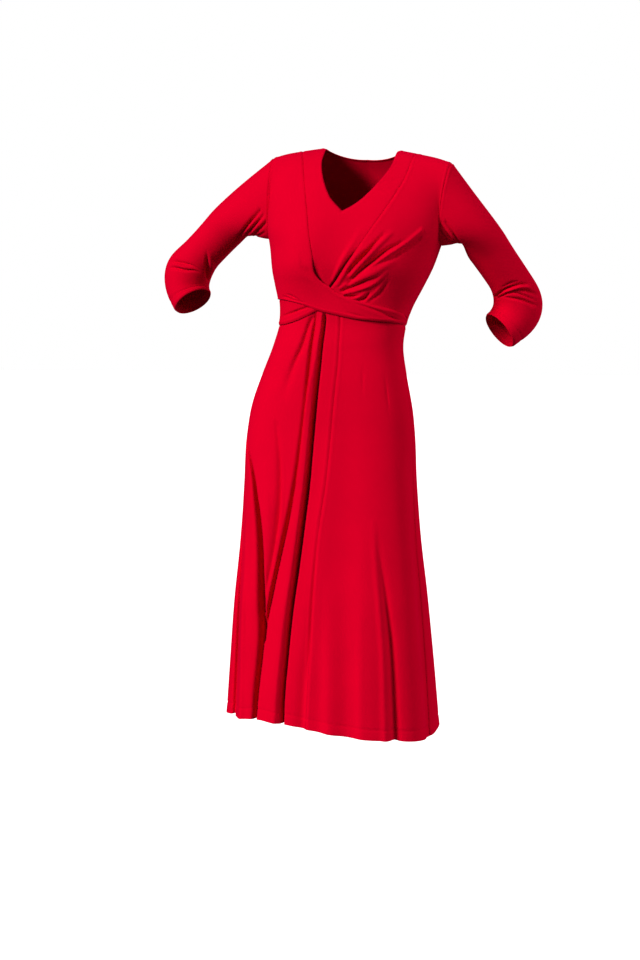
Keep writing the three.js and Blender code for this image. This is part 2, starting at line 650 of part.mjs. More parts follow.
// The middle line of an arm, a straight run and a rounded elbow, with the elbow's hinge line. zero is
// the angle from the inside of the bend to the sleeve's top.
function armLine(arm) {
  const [shoulder, elbow, cuff] = [arm.shoulder, arm.elbow, arm.cuff].map((p) => new THREE.Vector3(...p));
  const upper = elbow.clone().sub(shoulder).normalize();
  const fore = cuff.clone().sub(elbow).normalize();
  const path = new THREE.CurvePath();
  const bendStart = elbow.clone().addScaledVector(upper, -ELBOW_BEFORE);
  path.add(new THREE.LineCurve3(shoulder, bendStart));
  path.add(new THREE.QuadraticBezierCurve3(bendStart, elbow, cuff));
  const hinge = upper.clone().cross(fore).normalize();
  const zero = Math.atan2(hinge.z, hinge.clone().cross(upper).z);
  return { path, upper, hinge, zero };
}

// The bodice's armhole edge by its own angle: 0 at the shoulder, a quarter turn in front, half at the
// armpit
function armhole(side, angle) {
  const front = angle <= Math.PI;
  const level = ARMPIT * (front ? angle : 2 * Math.PI - angle) / Math.PI;
  if (front) return { turn: nudge(side, level, -side), level };
  return { turn: side > 0 ? nudge(1, level, 1) : nudge(3, level, -1), level };
}

// How far a sleeve's creases move its cloth out
function crease(creases, around, share) {
  return creases.reduce((sum, fold) => {
    const turned = around - fold.around;
    const aside = turned - Math.round(turned);
    const off = share - fold.along - fold.lean * aside;
    return sum + fold.out * Math.exp(-((off / fold.broad) ** 2) - ((aside / fold.long) ** 2));
  }, 0);
}

// A sleeve's point, at an angle round it and a share along it
function sleevePoint(arm, line, angle, share) {
  const middle = line.path.getPointAt(share);
  const ahead = line.path.getTangentAt(share);
  const inwards = line.hinge.clone().cross(ahead);
  const around = line.zero + arm.side * angle;
  const outside = Math.max(0, -Math.cos(around));
  const bump = Math.exp(-(((share - ELBOW_POINT.along) / ELBOW_POINT.spread) ** 2));
  const radius = along(SLEEVE, 'along', share, 'radius') + ELBOW_POINT.out * bump * outside ** 2
    + crease(arm.creases, angle / (2 * Math.PI), share);
  const tube = middle.addScaledVector(inwards, radius * Math.cos(around))
    .addScaledVector(line.hinge, radius * Math.sin(around));
  const { turn, level } = armhole(arm.side, angle);
  const length = line.path.getLength();
  const head = body(turn, level);
  head.x += arm.side * SEAM_GAP;
  const under = (1 - Math.cos(angle)) / 2;
  const sideways = new THREE.Vector3(arm.side, 0, 0);
  const leaving = line.upper.clone().lerp(sideways, under * UNDERARM_REACH).normalize();
  head.addScaledVector(leaving, share * length * HEAD_STRETCH);
  return head.lerp(tube, smooth(share / HEAD_SHARE));
}

// Rings lie closer together at the elbow, where the creases are
function ringShare(share) {
  const wave = (at) => Math.sin(2 * Math.PI * (at - ELBOW_POINT.along)) / (2 * Math.PI);
  return share - ELBOW_CROWD * (wave(share) - wave(0));
}

function sleeve(arm) {
  const line = armLine(arm);
  const levels = stations(ARMHOLE_LEVELS.map((level) => ({ level })), ['level']);
  const half = levels.map(({ level }) => Math.PI * level / ARMPIT);
  const angles = [...half, ...half.slice(1, -1).reverse().map((angle) => 2 * Math.PI - angle)];
  const rows = [];
  for (let r = 0; r <= SLEEVE_RINGS; r += 1) {
    const share = ringShare(r / SLEEVE_RINGS);
    rows.push(angles.map((angle) => {
      const at = (turned, moved) => sleevePoint(
        arm,
        line,
        (angle + turned + 2 * Math.PI) % (2 * Math.PI),
        Math.min(Math.max(share + moved, 0), 1),
      );
      if (r === 0) {
        const { turn, level } = armhole(arm.side, angle);
        return { point: at(0, 0), normal: bodyNormal(turn, level) };
      }
      const around = at(STEP_ANGLE, 0).sub(at(-STEP_ANGLE, 0));
      const ahead = at(0, STEP_SHARE).sub(at(0, -STEP_SHARE));
      return { point: at(0, 0), normal: around.cross(ahead).normalize().multiplyScalar(arm.side) };
    }));
  }
  return wall(rows, true);
}

const JERSEY = { color: 0xd8002a, roughness: 0.55, metalness: 0, side: THREE.FrontSide };

function piece(name, geometry) {
  const mesh = new THREE.Mesh(geometry, new THREE.MeshStandardMaterial(JERSEY));
  mesh.name = name;
  return mesh;
}

const even = (share) => share;
// Cloth that is gathered near its last edge at the top and fans out down to the hem
const fanned = (share, down) => 1 - (1 - share ** FAN_CROWD) ** mix(FAN_TOP, 1, smooth(down / FAN_REACH));

const seam = (level) => along(FRONT_SEAM, 'level', level, 'turn');
const rightSide = () => -1;
const leftSide = () => 1;
const backRight = () => 3;
const backLeft = () => 1;

const dress = new THREE.Group();
dress.name = 'wrap_dress';
dress.add(piece('front_inset', inset()));
dress.add(piece('front_right_wrap', wrap(RIGHT_WRAP, -1, 2, false)));
dress.add(piece('front_left_wrap', wrap(LEFT_WRAP, 1, 1, true)));
dress.add(piece('back_bodice', backBodice()));
dress.add(piece('sleeve_right', sleeve(ARM_RIGHT)));
dress.add(piece('sleeve_left', sleeve(ARM_LEFT)));
dress.add(piece('skirt_front_right', skirtPanel(rightSide, seam, SKIRT_RIGHT_ACROSS, true, fanned)));
dress.add(piece('skirt_front_left', skirtPanel(seam, leftSide, SKIRT_LEFT_ACROSS, true, even)));
dress.add(piece('skirt_back', skirtPanel(backLeft, backRight, SKIRT_BACK_ACROSS, false, even)));

export default dress;
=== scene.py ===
# %% [markdown]
# A wrap dress in red jersey, hollow as when it is worn. The CAD model fixes where everything is: this
# lesson loads it as a frame, and gives each sewn piece a fine cloth shell with its own folds.

# %% Load the frame
from math import cos, pi, radians, sin

import bmesh
import bpy
import numpy as np
from mathutils import Matrix, Vector


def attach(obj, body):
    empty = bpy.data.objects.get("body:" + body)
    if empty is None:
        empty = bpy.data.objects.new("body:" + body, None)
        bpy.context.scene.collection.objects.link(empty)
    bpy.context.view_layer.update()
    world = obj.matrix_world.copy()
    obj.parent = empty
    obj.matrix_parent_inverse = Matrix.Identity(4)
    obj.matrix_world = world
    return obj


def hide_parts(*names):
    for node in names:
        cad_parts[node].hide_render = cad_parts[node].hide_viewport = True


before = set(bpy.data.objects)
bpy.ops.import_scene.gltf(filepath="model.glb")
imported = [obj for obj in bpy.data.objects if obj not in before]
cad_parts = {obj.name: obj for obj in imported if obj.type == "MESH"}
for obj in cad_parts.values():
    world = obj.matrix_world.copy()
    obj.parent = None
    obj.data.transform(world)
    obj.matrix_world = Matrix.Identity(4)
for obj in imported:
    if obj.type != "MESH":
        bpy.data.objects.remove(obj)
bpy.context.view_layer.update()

MM = 0.001

# %% Small helpers
def add(name, data):
    """A new object in the scene."""
    thing = bpy.data.objects.new(name, data)
    bpy.context.scene.collection.objects.link(thing)
    return thing


def dial(node, values):
    """Give a shader node's inputs their values by name."""
    for name, value in values.items():
        node.inputs[name].default_value = value


# %% [markdown]
# The camera stands four metres away, a little to the dress's own left of the front and slightly above its
# waist, as one looks at a dress from across a room. Its lens follows from how many millimetres of the
# dress one pixel of the picture shows at that distance.

# %% Camera
PICTURE_TALL = 960
MM_PER_PIXEL = 1.95
AZIMUTH, ELEVATION = radians(15), radians(5)
DISTANCE = 4.0
AIM_RIGHT, AIM_UP = -0.080, -0.647
SENSOR = 36.0

view_right = Vector((cos(AZIMUTH), sin(AZIMUTH), 0))
view_back = Vector((sin(AZIMUTH) * cos(ELEVATION), -cos(AZIMUTH) * cos(ELEVATION), sin(ELEVATION)))
view_up = view_back.cross(view_right)
aim = view_right * AIM_RIGHT + Vector((0, 0, AIM_UP))

camera_data = bpy.data.cameras.new("camera")
camera_data.sensor_fit = "VERTICAL"
camera_data.sensor_height = SENSOR
camera_data.lens = SENSOR * DISTANCE / (PICTURE_TALL * MM_PER_PIXEL * MM)
camera = add("camera", camera_data)
camera.matrix_world = Matrix((
    (view_right.x, view_up.x, view_back.x, aim.x + view_back.x * DISTANCE),
    (view_right.y, view_up.y, view_back.y, aim.y + view_back.y * DISTANCE),
    (view_right.z, view_up.z, view_back.z, aim.z + view_back.z * DISTANCE),
    (0, 0, 0, 1)))
bpy.context.scene.camera = camera
print(f"Lens {camera_data.lens:.1f} mm")

# %% [markdown]
# The floor is a sheet well below the hem. It glows white, so that the dress stands clear, but throws no
# light up at it. A key light from the dress's own right models the folds, and a broad fill light keeps
# the other side red. The surroundings are bright behind the dress and dim in front of it, so that deep
# folds stay dark. The picture's gamma deepens the shade a little.

# %% Floor
FLOOR_HEIGHT = -1.545
FLOOR_HALF = 30.0

bm = bmesh.new()
bmesh.ops.create_grid(bm, x_segments=1, y_segments=1, size=FLOOR_HALF)
bmesh.ops.translate(bm, verts=bm.verts, vec=(0, 0, FLOOR_HEIGHT))
floor_mesh = bpy.data.meshes.new("floor")
bm.to_mesh(floor_mesh)
bm.free()
floor = add("floor", floor_mesh)
floor_paint = bpy.data.materials.new("floor_paint")
floor_paint.use_nodes = True
dial(floor_paint.node_tree.nodes["Principled BSDF"], {
    "Base Color": (0.3, 0.3, 0.3, 1), "Roughness": 0.95, "Specular IOR Level": 0.1,
    "Emission Color": (1, 1, 1, 1), "Emission Strength": 1.0})
floor_mesh.materials.append(floor_paint)
floor.visible_diffuse = False
floor.visible_glossy = False

# %% Lights
def sun(name, right, near, up, strength, spread):
    """A light from far away. It stands right, near and up as the camera sees it, and spread is how
    many degrees wide it looks."""
    data = bpy.data.lights.new(name, "SUN")
    data.energy = strength
    data.angle = radians(spread)
    towards = right * view_right + near * view_back + Vector((0, 0, up))
    add(name, data).rotation_euler = towards.to_track_quat("Z", "Y").to_euler()


sun("key_light", right=-1.0, near=0.92, up=0.5, strength=3.55, spread=16)
sun("fill_light", right=1.0, near=0.22, up=0.3, strength=1.9, spread=50)

# %% Surroundings
FRONT_GLOW, BACK_GLOW = 0.19, 1.0
GLOW_START, GLOW_END = 0.7, 0.9
PICTURE_GAMMA = 0.8

world = bpy.context.scene.world or bpy.data.worlds.new("world")
bpy.context.scene.world = world
world.use_nodes = True
sky, sky_links = world.node_tree.nodes, world.node_tree.links
direction = sky.new("ShaderNodeTexCoord")
split = sky.new("ShaderNodeSeparateXYZ")
glow = sky.new("ShaderNodeMapRange")
dial(glow, {"From Min": GLOW_START, "From Max": GLOW_END, "To Min": FRONT_GLOW, "To Max": BACK_GLOW})
sky_links.new(direction.outputs["Generated"], split.inputs["Vector"])
sky_links.new(split.outputs["Y"], glow.inputs["Value"])
sky_links.new(glow.outputs["Result"], sky["Background"].inputs["Strength"])
dial(sky["Background"], {"Color": (1, 1, 1, 1)})
bpy.context.scene.view_settings.view_transform = "Standard"
bpy.context.scene.view_settings.gamma = PICTURE_GAMMA

# %% [markdown]
# The cloth follows the same form as the solids. A place on it is a turn and a level: turn 0 is the
# front, 1 the left side seam, 2 the back and -1 the right side seam, and a level is a height in
# millimetres that follows the cloth over the shoulders. Short tables say how wide and deep the form is,
# and a smooth curve without overshoot joins their rows.

# %% Tables and curves
TINY = 1e-9


def table(columns, *rows):
    """The columns of a table by name. Its rows are sorted by the first."""
    return {name: np.array(values, float) for name, values in zip(columns.split(), zip(*rows))}


def smooth(t):
    t = np.clip(t, 0, 1)
    return t * t * (3 - 2 * t)


def mix(a, b, t):
    return a + (b - a) * t


def cubic(x, y, slope, at):
    """A smooth curve through y at x with the given slopes, read at places along x."""
    i = np.clip(np.searchsorted(x, at) - 1, 0, len(x) - 2)
    h = x[i + 1] - x[i]
    t = (at - x[i]) / h
    return ((2 * t**3 - 3 * t**2 + 1) * y[i] + (t**3 - 2 * t**2 + t) * h * slope[i]
            + (3 * t**2 - 2 * t**3) * y[i + 1] + (t**3 - t**2) * h * slope[i + 1])


def along(rows, at, column):
    """A column's value at places along the table's first column."""
    x, y = rows[next(iter(rows))], rows[column]
    width = np.diff(x)
    rate = np.diff(y) / width
    mean = (width[:-1] * rate[1:] + width[1:] * rate[:-1]) / (width[:-1] + width[1:])
    limit = 3 * np.minimum(np.abs(rate[:-1]), np.abs(rate[1:]))
    inner = np.where(rate[:-1] * rate[1:] > 0, np.sign(mean) * np.minimum(np.abs(mean), limit), 0)
    slope = np.concatenate([rate[:1], inner, rate[-1:]])
    return cubic(x, y, slope, np.clip(at, x[0], x[-1]))


def unit(vectors):
    return vectors / np.maximum(np.linalg.norm(vectors, axis=-1, keepdims=True), TINY)


def run_of(points):
    """How far along a line each of its points lies."""
    return np.concatenate([[0], np.cumsum(np.linalg.norm(np.diff(points, axis=0), axis=1))])


def on_line(places, run, points):
    """Points at places along a line, given how far along it its own points lie."""
    return np.stack([np.interp(places, run, column) for column in points.T], -1)


# %% The form below the armpits
ARMPIT = -186.0
SQUARENESS = 0.05
FORM = table(
    "level mid_x mid_y half front back",
    (-1180, -61, 0, 208, 190, 190),
    (-1000, -62, 0, 196, 168, 168),
    (-880, -63, 0, 187, 152, 152),
    (-760, -63, 0, 175, 135, 136),
    (-650, -63, 0, 168, 122, 128),
    (-560, -62, 0, 164, 114, 126),
    (-500, -59, -2, 156, 108, 122),
    (-440, -53, -4, 140, 102, 112),
    (-385, -45, -4, 126, 96, 98),
    (-345, -36, -2, 123, 93, 90),
    (-310, -29, 0, 128, 97, 90),
    (-270, -23, 2, 142, 104, 94),
    (-230, -18, 4, 156, 112, 100),
    (ARMPIT, -14, 4, 168, 112, 104),
)
CUP_ACROSS, CUP_LEVEL, CUP_WIDTH, CUP_HEIGHT, CUP_OUT = 82, -212, 58, 62, 24


def trunk(turn, level):
    """Points of the form below the armpits."""
    angle = turn * pi / 2
    square = 1 + SQUARENESS * np.sin(2 * angle) ** 2
    facing = np.cos(angle)
    depth = np.where(facing >= 0, along(FORM, level, "front"), along(FORM, level, "back"))
    across = along(FORM, level, "half") * np.sin(angle) * square
    cups = sum(np.exp(-((across - side * CUP_ACROSS) / CUP_WIDTH) ** 2
                      - ((level - CUP_LEVEL) / CUP_HEIGHT) ** 2) for side in (-1, 1))
    out = CUP_OUT * np.maximum(facing, 0) * cups
    y = along(FORM, level, "mid_y") - depth * facing * square - out
    return np.stack([along(FORM, level, "mid_x") + across, y, level + 0 * across], -1)


# %% The form over the chest and the upper back
SHOULDER_HALF = 176.0
SHOULDER_Y = 6.0
SHOULDER = table("across level", (0, -2), (74, -9), (118, -16), (149, -22), (176, -30))
RIB_START, RIB_LIFT, RIB_EDGE = 8, 75, 6
ARMHOLE_LEAN_X, ARMHOLE_LEAN_Y, ARMHOLE_LEAN_Z = 6, 55, 12
ROOF_NECK, ROOF_ARM = 70, 52


def rib(share, back, rise):
    """Points on ribs that run from armpit level (rise 0) up to the shoulder seam (rise 1)."""
    facing = np.where(back, 1.0, -1.0)
    turn = np.where(back, 2 - share, share)
    edge = (np.abs(share) ** RIB_EDGE)[..., None]
    start = trunk(turn, np.full_like(turn, ARMPIT))
    below = trunk(turn, np.full_like(turn, ARMPIT - RIB_START))
    lift = (start - below) * (RIB_LIFT / RIB_START)
    lean = np.stack([-ARMHOLE_LEAN_X * np.sign(share), facing * ARMHOLE_LEAN_Y,
                     np.full_like(share, ARMHOLE_LEAN_Z)], -1)
    lift = mix(lift, lean, edge)
    across = share * SHOULDER_HALF
    top = np.stack([across, np.full_like(across, SHOULDER_Y),
                    along(SHOULDER, np.abs(across), "level")], -1)
    roof = facing * mix(ROOF_NECK, ROOF_ARM, np.abs(share))
    over = top + np.stack([0 * roof, roof, 0 * roof], -1)
    t = rise[..., None]
    return ((1 - t) ** 3 * start + 3 * t * (1 - t) ** 2 * (start + lift)
            + 3 * t**2 * (1 - t) * over + t**3 * top)


# %% The whole form and its outward direction
TILT = 0.045
TILT_FOOT = -400.0
STEP_TURN, STEP_LEVEL = 0.004, 1.0
NARROWEST = -345.0
ONCE_ROUND = 4


def body(turn, level, back=None):
    """Points of the smooth form. back says which side's form is meant at the side seams."""
    turn, level = np.broadcast_arrays(np.asarray(turn, float), np.asarray(level, float))
    back = turn > 1 if back is None else back
    share = np.where(back, 2 - turn, turn)
    high = level > ARMPIT
    upper = rib(share, back, np.clip(1 - level / ARMPIT, 0, 1))
    lower = trunk(turn, np.minimum(level, ARMPIT))
    point = np.where(high[..., None], upper, lower)
    tilt = smooth((level - TILT_FOOT) / (ARMPIT - TILT_FOOT))
    point[..., 2] -= TILT * point[..., 0] * tilt
    return point


def body_normal(turn, level):
    """The direction out of the cloth, from short steps across and up on one side's form."""
    turn, level = np.broadcast_arrays(np.asarray(turn, float), np.asarray(level, float))
    back = turn > 1
    low, high = np.where(back, 1.0, -1.0), np.where(back, 3.0, 1.0)
    across = (body(np.minimum(turn + STEP_TURN, high), level, back)
              - body(np.maximum(turn - STEP_TURN, low), level, back))
    up = (body(turn, np.minimum(level + STEP_LEVEL, 0), back)
          - body(turn, level - STEP_LEVEL, back))
    return unit(np.cross(across, up))


def quarter(level):
    """A quarter of the way round the dress, in millimetres."""
    low = np.minimum(level, ARMPIT)
    half, front = along(FORM, low, "half"), along(FORM, low, "front")
    below = pi / 2 * np.sqrt((half**2 + front**2) / 2)
    return np.where(level > ARMPIT, mix(below, SHOULDER_HALF, 1 - level / ARMPIT), below)


print("Round the waist in mm:", round(float(ONCE_ROUND * quarter(np.array(NARROWEST)))))

# %% [markdown]
# A fold is a path over the cloth with a breadth and a height. Cloth under a pull makes sharp troughs
# between round ridges, so a fold can be sharper than a bell curve, and it can lean so that one of its
# flanks is steep. The heights of folds simply add up. The paths of those that the photograph shows were
# picked on it point by point and worked back onto the form, and the others are given.

# %% Folds
FOLD_STEPS = 24
CURVE_STEPS = 12
FOLD_REACH = 3.2


def on_trunk(turn, level):
    """A place on the trunk in millimetres, across and up."""
    return np.stack([turn * quarter(level), level], -1)


def fold(path, width, out, sharp=2.0, lean=0.0, laid=on_trunk):
    """One fold: turns and levels along it, and its breadths and heights spaced evenly over its length."""
    flat = laid(*np.array(path, float).T)
    steps = np.sqrt(np.linalg.norm(np.diff(flat, axis=0), axis=1))
    at = np.concatenate([[0], np.cumsum(steps)])
    fine = np.linspace(0, at[-1], CURVE_STEPS * len(path))
    slope = np.gradient(flat, at, axis=0)
    line = np.stack([cubic(at, flat[:, k], slope[:, k], fine) for k in (0, 1)], -1)
    run = run_of(line)
    points = on_line(np.linspace(0, run[-1], FOLD_STEPS + 1), run, line)
    return {"points": points, "width": width, "out": out, "sharp": sharp, "lean": lean}


def spread(values, t):
    """Values spaced evenly along a fold, at the share t of its length."""
    return np.interp(t, np.linspace(0, 1, len(values)), values)


def relief(folds, across, up, once):
    """How far folds move the cloth out. All lengths are in millimetres, and once is once round."""
    out = np.zeros_like(across)
    for one in folds:
        points, broad = one["points"], FOLD_REACH * max(one["width"])
        low, high = points.min(0) - broad, points.max(0) + broad
        for shift in (-1, 0, 1):
            moved = across + shift * once
            near = (moved > low[0]) & (moved < high[0]) & (up > low[1]) & (up < high[1])
            if not near.any():
                continue
            px, py = moved[near], up[near]
            best = np.full_like(px, np.inf)
            share, side = np.zeros_like(px), np.zeros_like(px)
            for i in range(FOLD_STEPS):
                (ax, ay), (bx, by) = points[i], points[i + 1]
                dx, dy = bx - ax, by - ay
                t = np.clip(((px - ax) * dx + (py - ay) * dy) / (dx * dx + dy * dy), 0, 1)
                gx, gy = px - ax - t * dx, py - ay - t * dy
                gap = np.hypot(gx, gy)
                closer = gap < best
                best = np.where(closer, gap, best)
                share = np.where(closer, (i + t) / FOLD_STEPS, share)
                side = np.where(closer, np.sign(gx * dy - gy * dx), side)
            width = spread(one["width"], share) * (1 + one["lean"] * side)
            height = np.exp(-(best / width) ** one["sharp"])
            out[near] += spread(one["out"], share) * height
    return out


def trunk_relief(folds, turn, level):
    return relief(folds, turn * quarter(level), level, ONCE_ROUND * quarter(level))


# %% [markdown]
# The twist gathers the right front panel. One deep, narrow fold falls from it to the hem with a wide
# ridge beside it. A second swings out to the right and ends in a third, which comes in from the right
# hip and runs on to the hem. Softer waves lie between them.

# %% Folds of the right front
RIGHT_FOLDS = [
    # The deep fold from the twist to the hem, and the wide ridge beside it
    fold([(-0.08, -324), (-0.072, -345), (-0.054, -366), (-0.04, -390), (-0.022, -449), (-0.022, -534),
          (-0.041, -638), (-0.074, -733), (-0.097, -809), (-0.121, -885), (-0.139, -970),
          (-0.153, -1055), (-0.147, -1125)],
         (2.6, 3, 3.2, 2.6, 2.5), (-11, -25, -29, -27, -20), 2.0, 0.1),
    fold([(-0.05, -400), (-0.045, -449), (-0.05, -534), (-0.072, -638), (-0.11, -733), (-0.135, -809),
          (-0.162, -885), (-0.182, -970), (-0.197, -1055), (-0.2, -1125)], (5, 9, 13, 16, 18),
         (1, 6, 11, 13, 13), 2.0, 0.55),
    # The fold that swings out to the right, and the one from the hip that takes it up
    fold([(-0.175, -325), (-0.165, -354), (-0.14, -392), (-0.114, -440), (-0.1, -487), (-0.12, -601),
          (-0.182, -716), (-0.234, -792), (-0.275, -868), (-0.298, -911), (-0.305, -945)],
         (2.8, 3.2, 3.4, 3.6, 3.6), (-8, -10, -11, -19, -22), 1.8, 0.15),
    fold([(-0.75, -565), (-0.56, -621), (-0.47, -682), (-0.415, -734), (-0.374, -795), (-0.34, -870),
          (-0.317, -926), (-0.318, -974), (-0.328, -1022), (-0.333, -1060), (-0.335, -1125)],
         (3.5, 4.2, 4.4, 4, 3.2), (-10, -30, -34, -28, -19), 1.7, 0.3),
    # A soft fold above the place where those two meet, with a thin ridge in it
    fold([(-0.316, -536), (-0.265, -602), (-0.255, -716), (-0.28, -793), (-0.31, -851), (-0.319, -893)],
         (4.5, 6, 5), (-3, -10, -8), 1.8, 0.4),
    fold([(-0.24, -600), (-0.232, -697), (-0.258, -755), (-0.29, -816), (-0.31, -864), (-0.318, -904)],
         (2.5, 3, 2.5), (0, 3, 1)),
    # The trough and the ridge next to the right edge
    fold([(-0.76, -700), (-0.66, -840), (-0.6, -990), (-0.57, -1120)], (8, 9, 10), (-2, -15, -17)),
    fold([(-0.62, -680), (-0.53, -840), (-0.48, -990), (-0.45, -1120)], (7, 9, 10), (0, 8, 8)),
    # Short pulls under the twist, a small swelling below them, and a ridge along the front seam
    fold([(-0.194, -323), (-0.228, -345), (-0.24, -385), (-0.267, -411), (-0.279, -431), (-0.29, -480)],
         (3.5, 6, 9), (-6, -8, -1)),
    fold([(-0.105, -324), (-0.088, -369), (-0.078, -401), (-0.078, -449), (-0.09, -510),
          (-0.1, -638)], (4, 5, 6), (4, 5, 1)),
    fold([(-0.4, -620), (-0.36, -700), (-0.34, -780)], (9, 10, 7), (1, 4, 1)),
    fold([(0.12, -440), (0.11, -600), (0.06, -713), (0.025, -864), (0.0, -1014), (-0.01, -1120)],
         (14, 16, 13), (0, 6, 4), 2.0, -0.2),
    # Broad waves of the right side
    fold([(-0.55, -640), (-0.46, -800), (-0.43, -950), (-0.42, -1120)], (22, 26, 28), (2, 9, 11)),
    fold([(-0.66, -800), (-0.62, -950), (-0.6, -1120)], (26, 28, 30), (-1, -7, -10)),
    fold([(-0.582, -820), (-0.5, -913), (-0.45, -988), (-0.387, -1072)], (14, 16, 14), (0, 4, 1)),
]

# %% [markdown]
# The left front hangs smoother: a step along the front seam low down, one crisp fold half way to the
# side and a few soft waves. The back and the sides carry the same kind of soft waves all round.

# %% Folds of the left front and the back
STEEP = 0.35
LEFT_FOLDS = [
    # The step along the front seam, and the wide ridge beside it
    fold([(0.05, -700), (0.035, -760), (0.02, -850), (0.005, -940), (-0.015, -1030), (-0.022, -1125)],
         (4, 6, 8, 9), (0, -4, -8, -9), 1.8, 0.4),
    fold([(0.12, -820), (0.135, -930), (0.14, -1013), (0.145, -1110)],
         (13, 17, 18), (0, 7, 11), 2.0, -0.2),
    # The crisp fold, and the ridge beside it
    fold([(0.46, -740), (0.475, -800), (0.5, -903), (0.512, -965), (0.515, -1053), (0.515, -1140)],
         (5, 8, 10), (0, -13, -17), 1.7, -0.5),
    fold([(0.43, -720), (0.44, -787), (0.465, -903), (0.475, -965), (0.475, -1140)],
         (5, 7, 8), (1, 5, 5)),
    # Soft waves, and two small dents near the hip
    fold([(0.2, -400), (0.24, -560), (0.24, -760), (0.22, -940), (0.22, -1140)], (18, 26, 28),
         (-1, -5, -6)),
    fold([(0.34, -760), (0.35, -900), (0.35, -1140)], (22, 26, 28), (1, 6, 7)),
    fold([(0.335, -844), (0.33, -956), (0.325, -1140)], (7, 8, 8), (0, 2, 2)),
    fold([(0.66, -620), (0.68, -860), (0.7, -1150)], (24, 30, 32), (1, 6, 9)),
    fold([(0.9, -600), (0.93, -860), (0.95, -1160)], (20, 26, 26), (-1, -6, -8)),
    fold([(0.581, -440), (0.583, -478), (0.587, -515)], (3, 3, 3), (0, -2, 0)),
    fold([(0.363, -420), (0.363, -448), (0.363, -476)], (2.5, 2.5, 2.5), (0, -1.6, 0)),
]
BACK_FOLDS = [
    fold([(1.2, -520), (1.22, -800), (1.24, -1140)], (22, 30, 34), (1, 5, 9)),
    fold([(1.42, -480), (1.45, -800), (1.46, -1140)], (12, 18, 20), (-1, -9, -13), 1.8, STEEP),
    fold([(1.7, -520), (1.68, -800), (1.67, -1140)], (24, 32, 36), (1, 9, 14)),
    fold([(1.93, -440), (1.9, -800), (1.89, -1140)], (11, 18, 20), (-1, -10, -14), 1.8, STEEP),
    fold([(2.08, -520), (2.13, -800), (2.14, -1140)], (24, 32, 36), (1, 9, 14)),
    fold([(2.34, -460), (2.36, -800), (2.37, -1140)], (12, 18, 21), (-1, -9, -13), 1.8, -STEEP),
    fold([(2.58, -520), (2.6, -800), (2.61, -1140)], (24, 30, 34), (1, 9, 13)),
    fold([(2.82, -560), (2.82, -800), (2.82, -1140)], (20, 26, 30), (-1, -6, -9)),
]
SKIRT_FOLDS = RIGHT_FOLDS + LEFT_FOLDS + BACK_FOLDS
print(len(SKIRT_FOLDS), "folds in the skirt")

# %% [markdown]
# Each piece of cloth starts as a flat grid, and every point of it is moved to its place on the form, as
# a pattern piece is laid on a stand. The grid also gets a UV map in millimetres of cloth, so that the
# knit follows the piece. A Solidify modifier then gives the shell its thickness.

# %% A piece of cloth from a grid
CLOTH = 0.9
SEAM_GAP = 0.3
WELD = 1e-5


def cloth(name, rows, columns, place, closed=False):
    """A cloth shell. place gives its points, their outward directions and their places in the knit, for
    shares across and down the piece."""
    bm = bmesh.new()
    bmesh.ops.create_grid(bm, x_segments=columns, y_segments=rows, size=0.5)
    mesh = bpy.data.meshes.new(name)
    bm.to_mesh(mesh)
    flat = np.empty(len(mesh.vertices) * 3)
    mesh.vertices.foreach_get("co", flat)
    flat = flat.reshape(-1, 3)
    points, outward, knit = place(flat[:, 0] + 0.5, 0.5 - flat[:, 1])
    mesh.vertices.foreach_set("co", (points * MM).ravel())
    loops = np.empty(len(mesh.loops), int)
    mesh.loops.foreach_get("vertex_index", loops)
    mesh.uv_layers.new(name="knit").data.foreach_set("uv", (knit[loops] * MM).ravel())
    mesh.update()
    bm.clear()
    bm.from_mesh(mesh)
    bm.verts.ensure_lookup_table()
    agree = sum(v.normal.dot(outward[v.index]) for v in bm.verts)
    if agree < 0:
        bmesh.ops.reverse_faces(bm, faces=bm.faces)
    if closed:
        bmesh.ops.remove_doubles(bm, verts=bm.verts, dist=WELD)
    for face in bm.faces:
        face.smooth = True
    bm.to_mesh(mesh)
    bm.free()
    piece = add(name, mesh)
    wall = piece.modifiers.new("thickness", "SOLIDIFY")
    wall.thickness = CLOTH * MM
    wall.offset = 0
    area = sum(face.area for face in mesh.polygons)
    print(f"{name}: {len(mesh.polygons)} faces, {area:.3f} square metres")
    return piece


# %% Layers and edges
LAYER = 3.5
LAYER_TOP, LAYER_FULL = -196.0, -258.0
SIDE_FADE = 0.42
EDGE_DIP, EDGE_WIDTH = 1.4, 2.0
EDGE_RISE, EDGE_BACK = 0.5, 5.0
CALM_WIDTH = 9.0


def lift(layers, turn, level):
    """How far a layer stands off the form. It comes back to the form at the side seams."""
    down = smooth((LAYER_TOP - level) / (LAYER_TOP - LAYER_FULL))
    return layers * LAYER * down * smooth((1 - np.abs(turn)) / SIDE_FADE)


def bell(distance, width):
    return np.exp(-(distance / width) ** 2)


def edge(*distances):
    """Cloth turns in where it is sewn or turned under, and swells a little beside that edge."""
    return sum(EDGE_RISE * bell(distance - EDGE_BACK, EDGE_WIDTH) - EDGE_DIP * bell(distance, EDGE_WIDTH)
               for distance in distances)


def calm(*distances):
    """Folds flatten out close to an edge, where the seam holds the cloth."""
    return smooth(np.minimum.reduce(distances) / CALM_WIDTH)


print("Cloth", CLOTH, "mm thick, layers", LAYER, "mm apart")

# %% [markdown]
# The bodice has two wraps. Each is one strip of cloth from the shoulder over the chest, and it narrows
# into a band that crosses the waist. A table of stations says where the strip's inner and outer edges
# run, picked and worked back like the folds. The right wrap lies over the left one at the twist, and its
# band covers the left one's end.

# %% The strips
STRIP = "inner_turn inner_level outer_turn outer_level"


def stations(*rows):
    """A strip's table, numbered station by station."""
    return table("number " + STRIP, *[(number, *row) for number, row in enumerate(rows)])


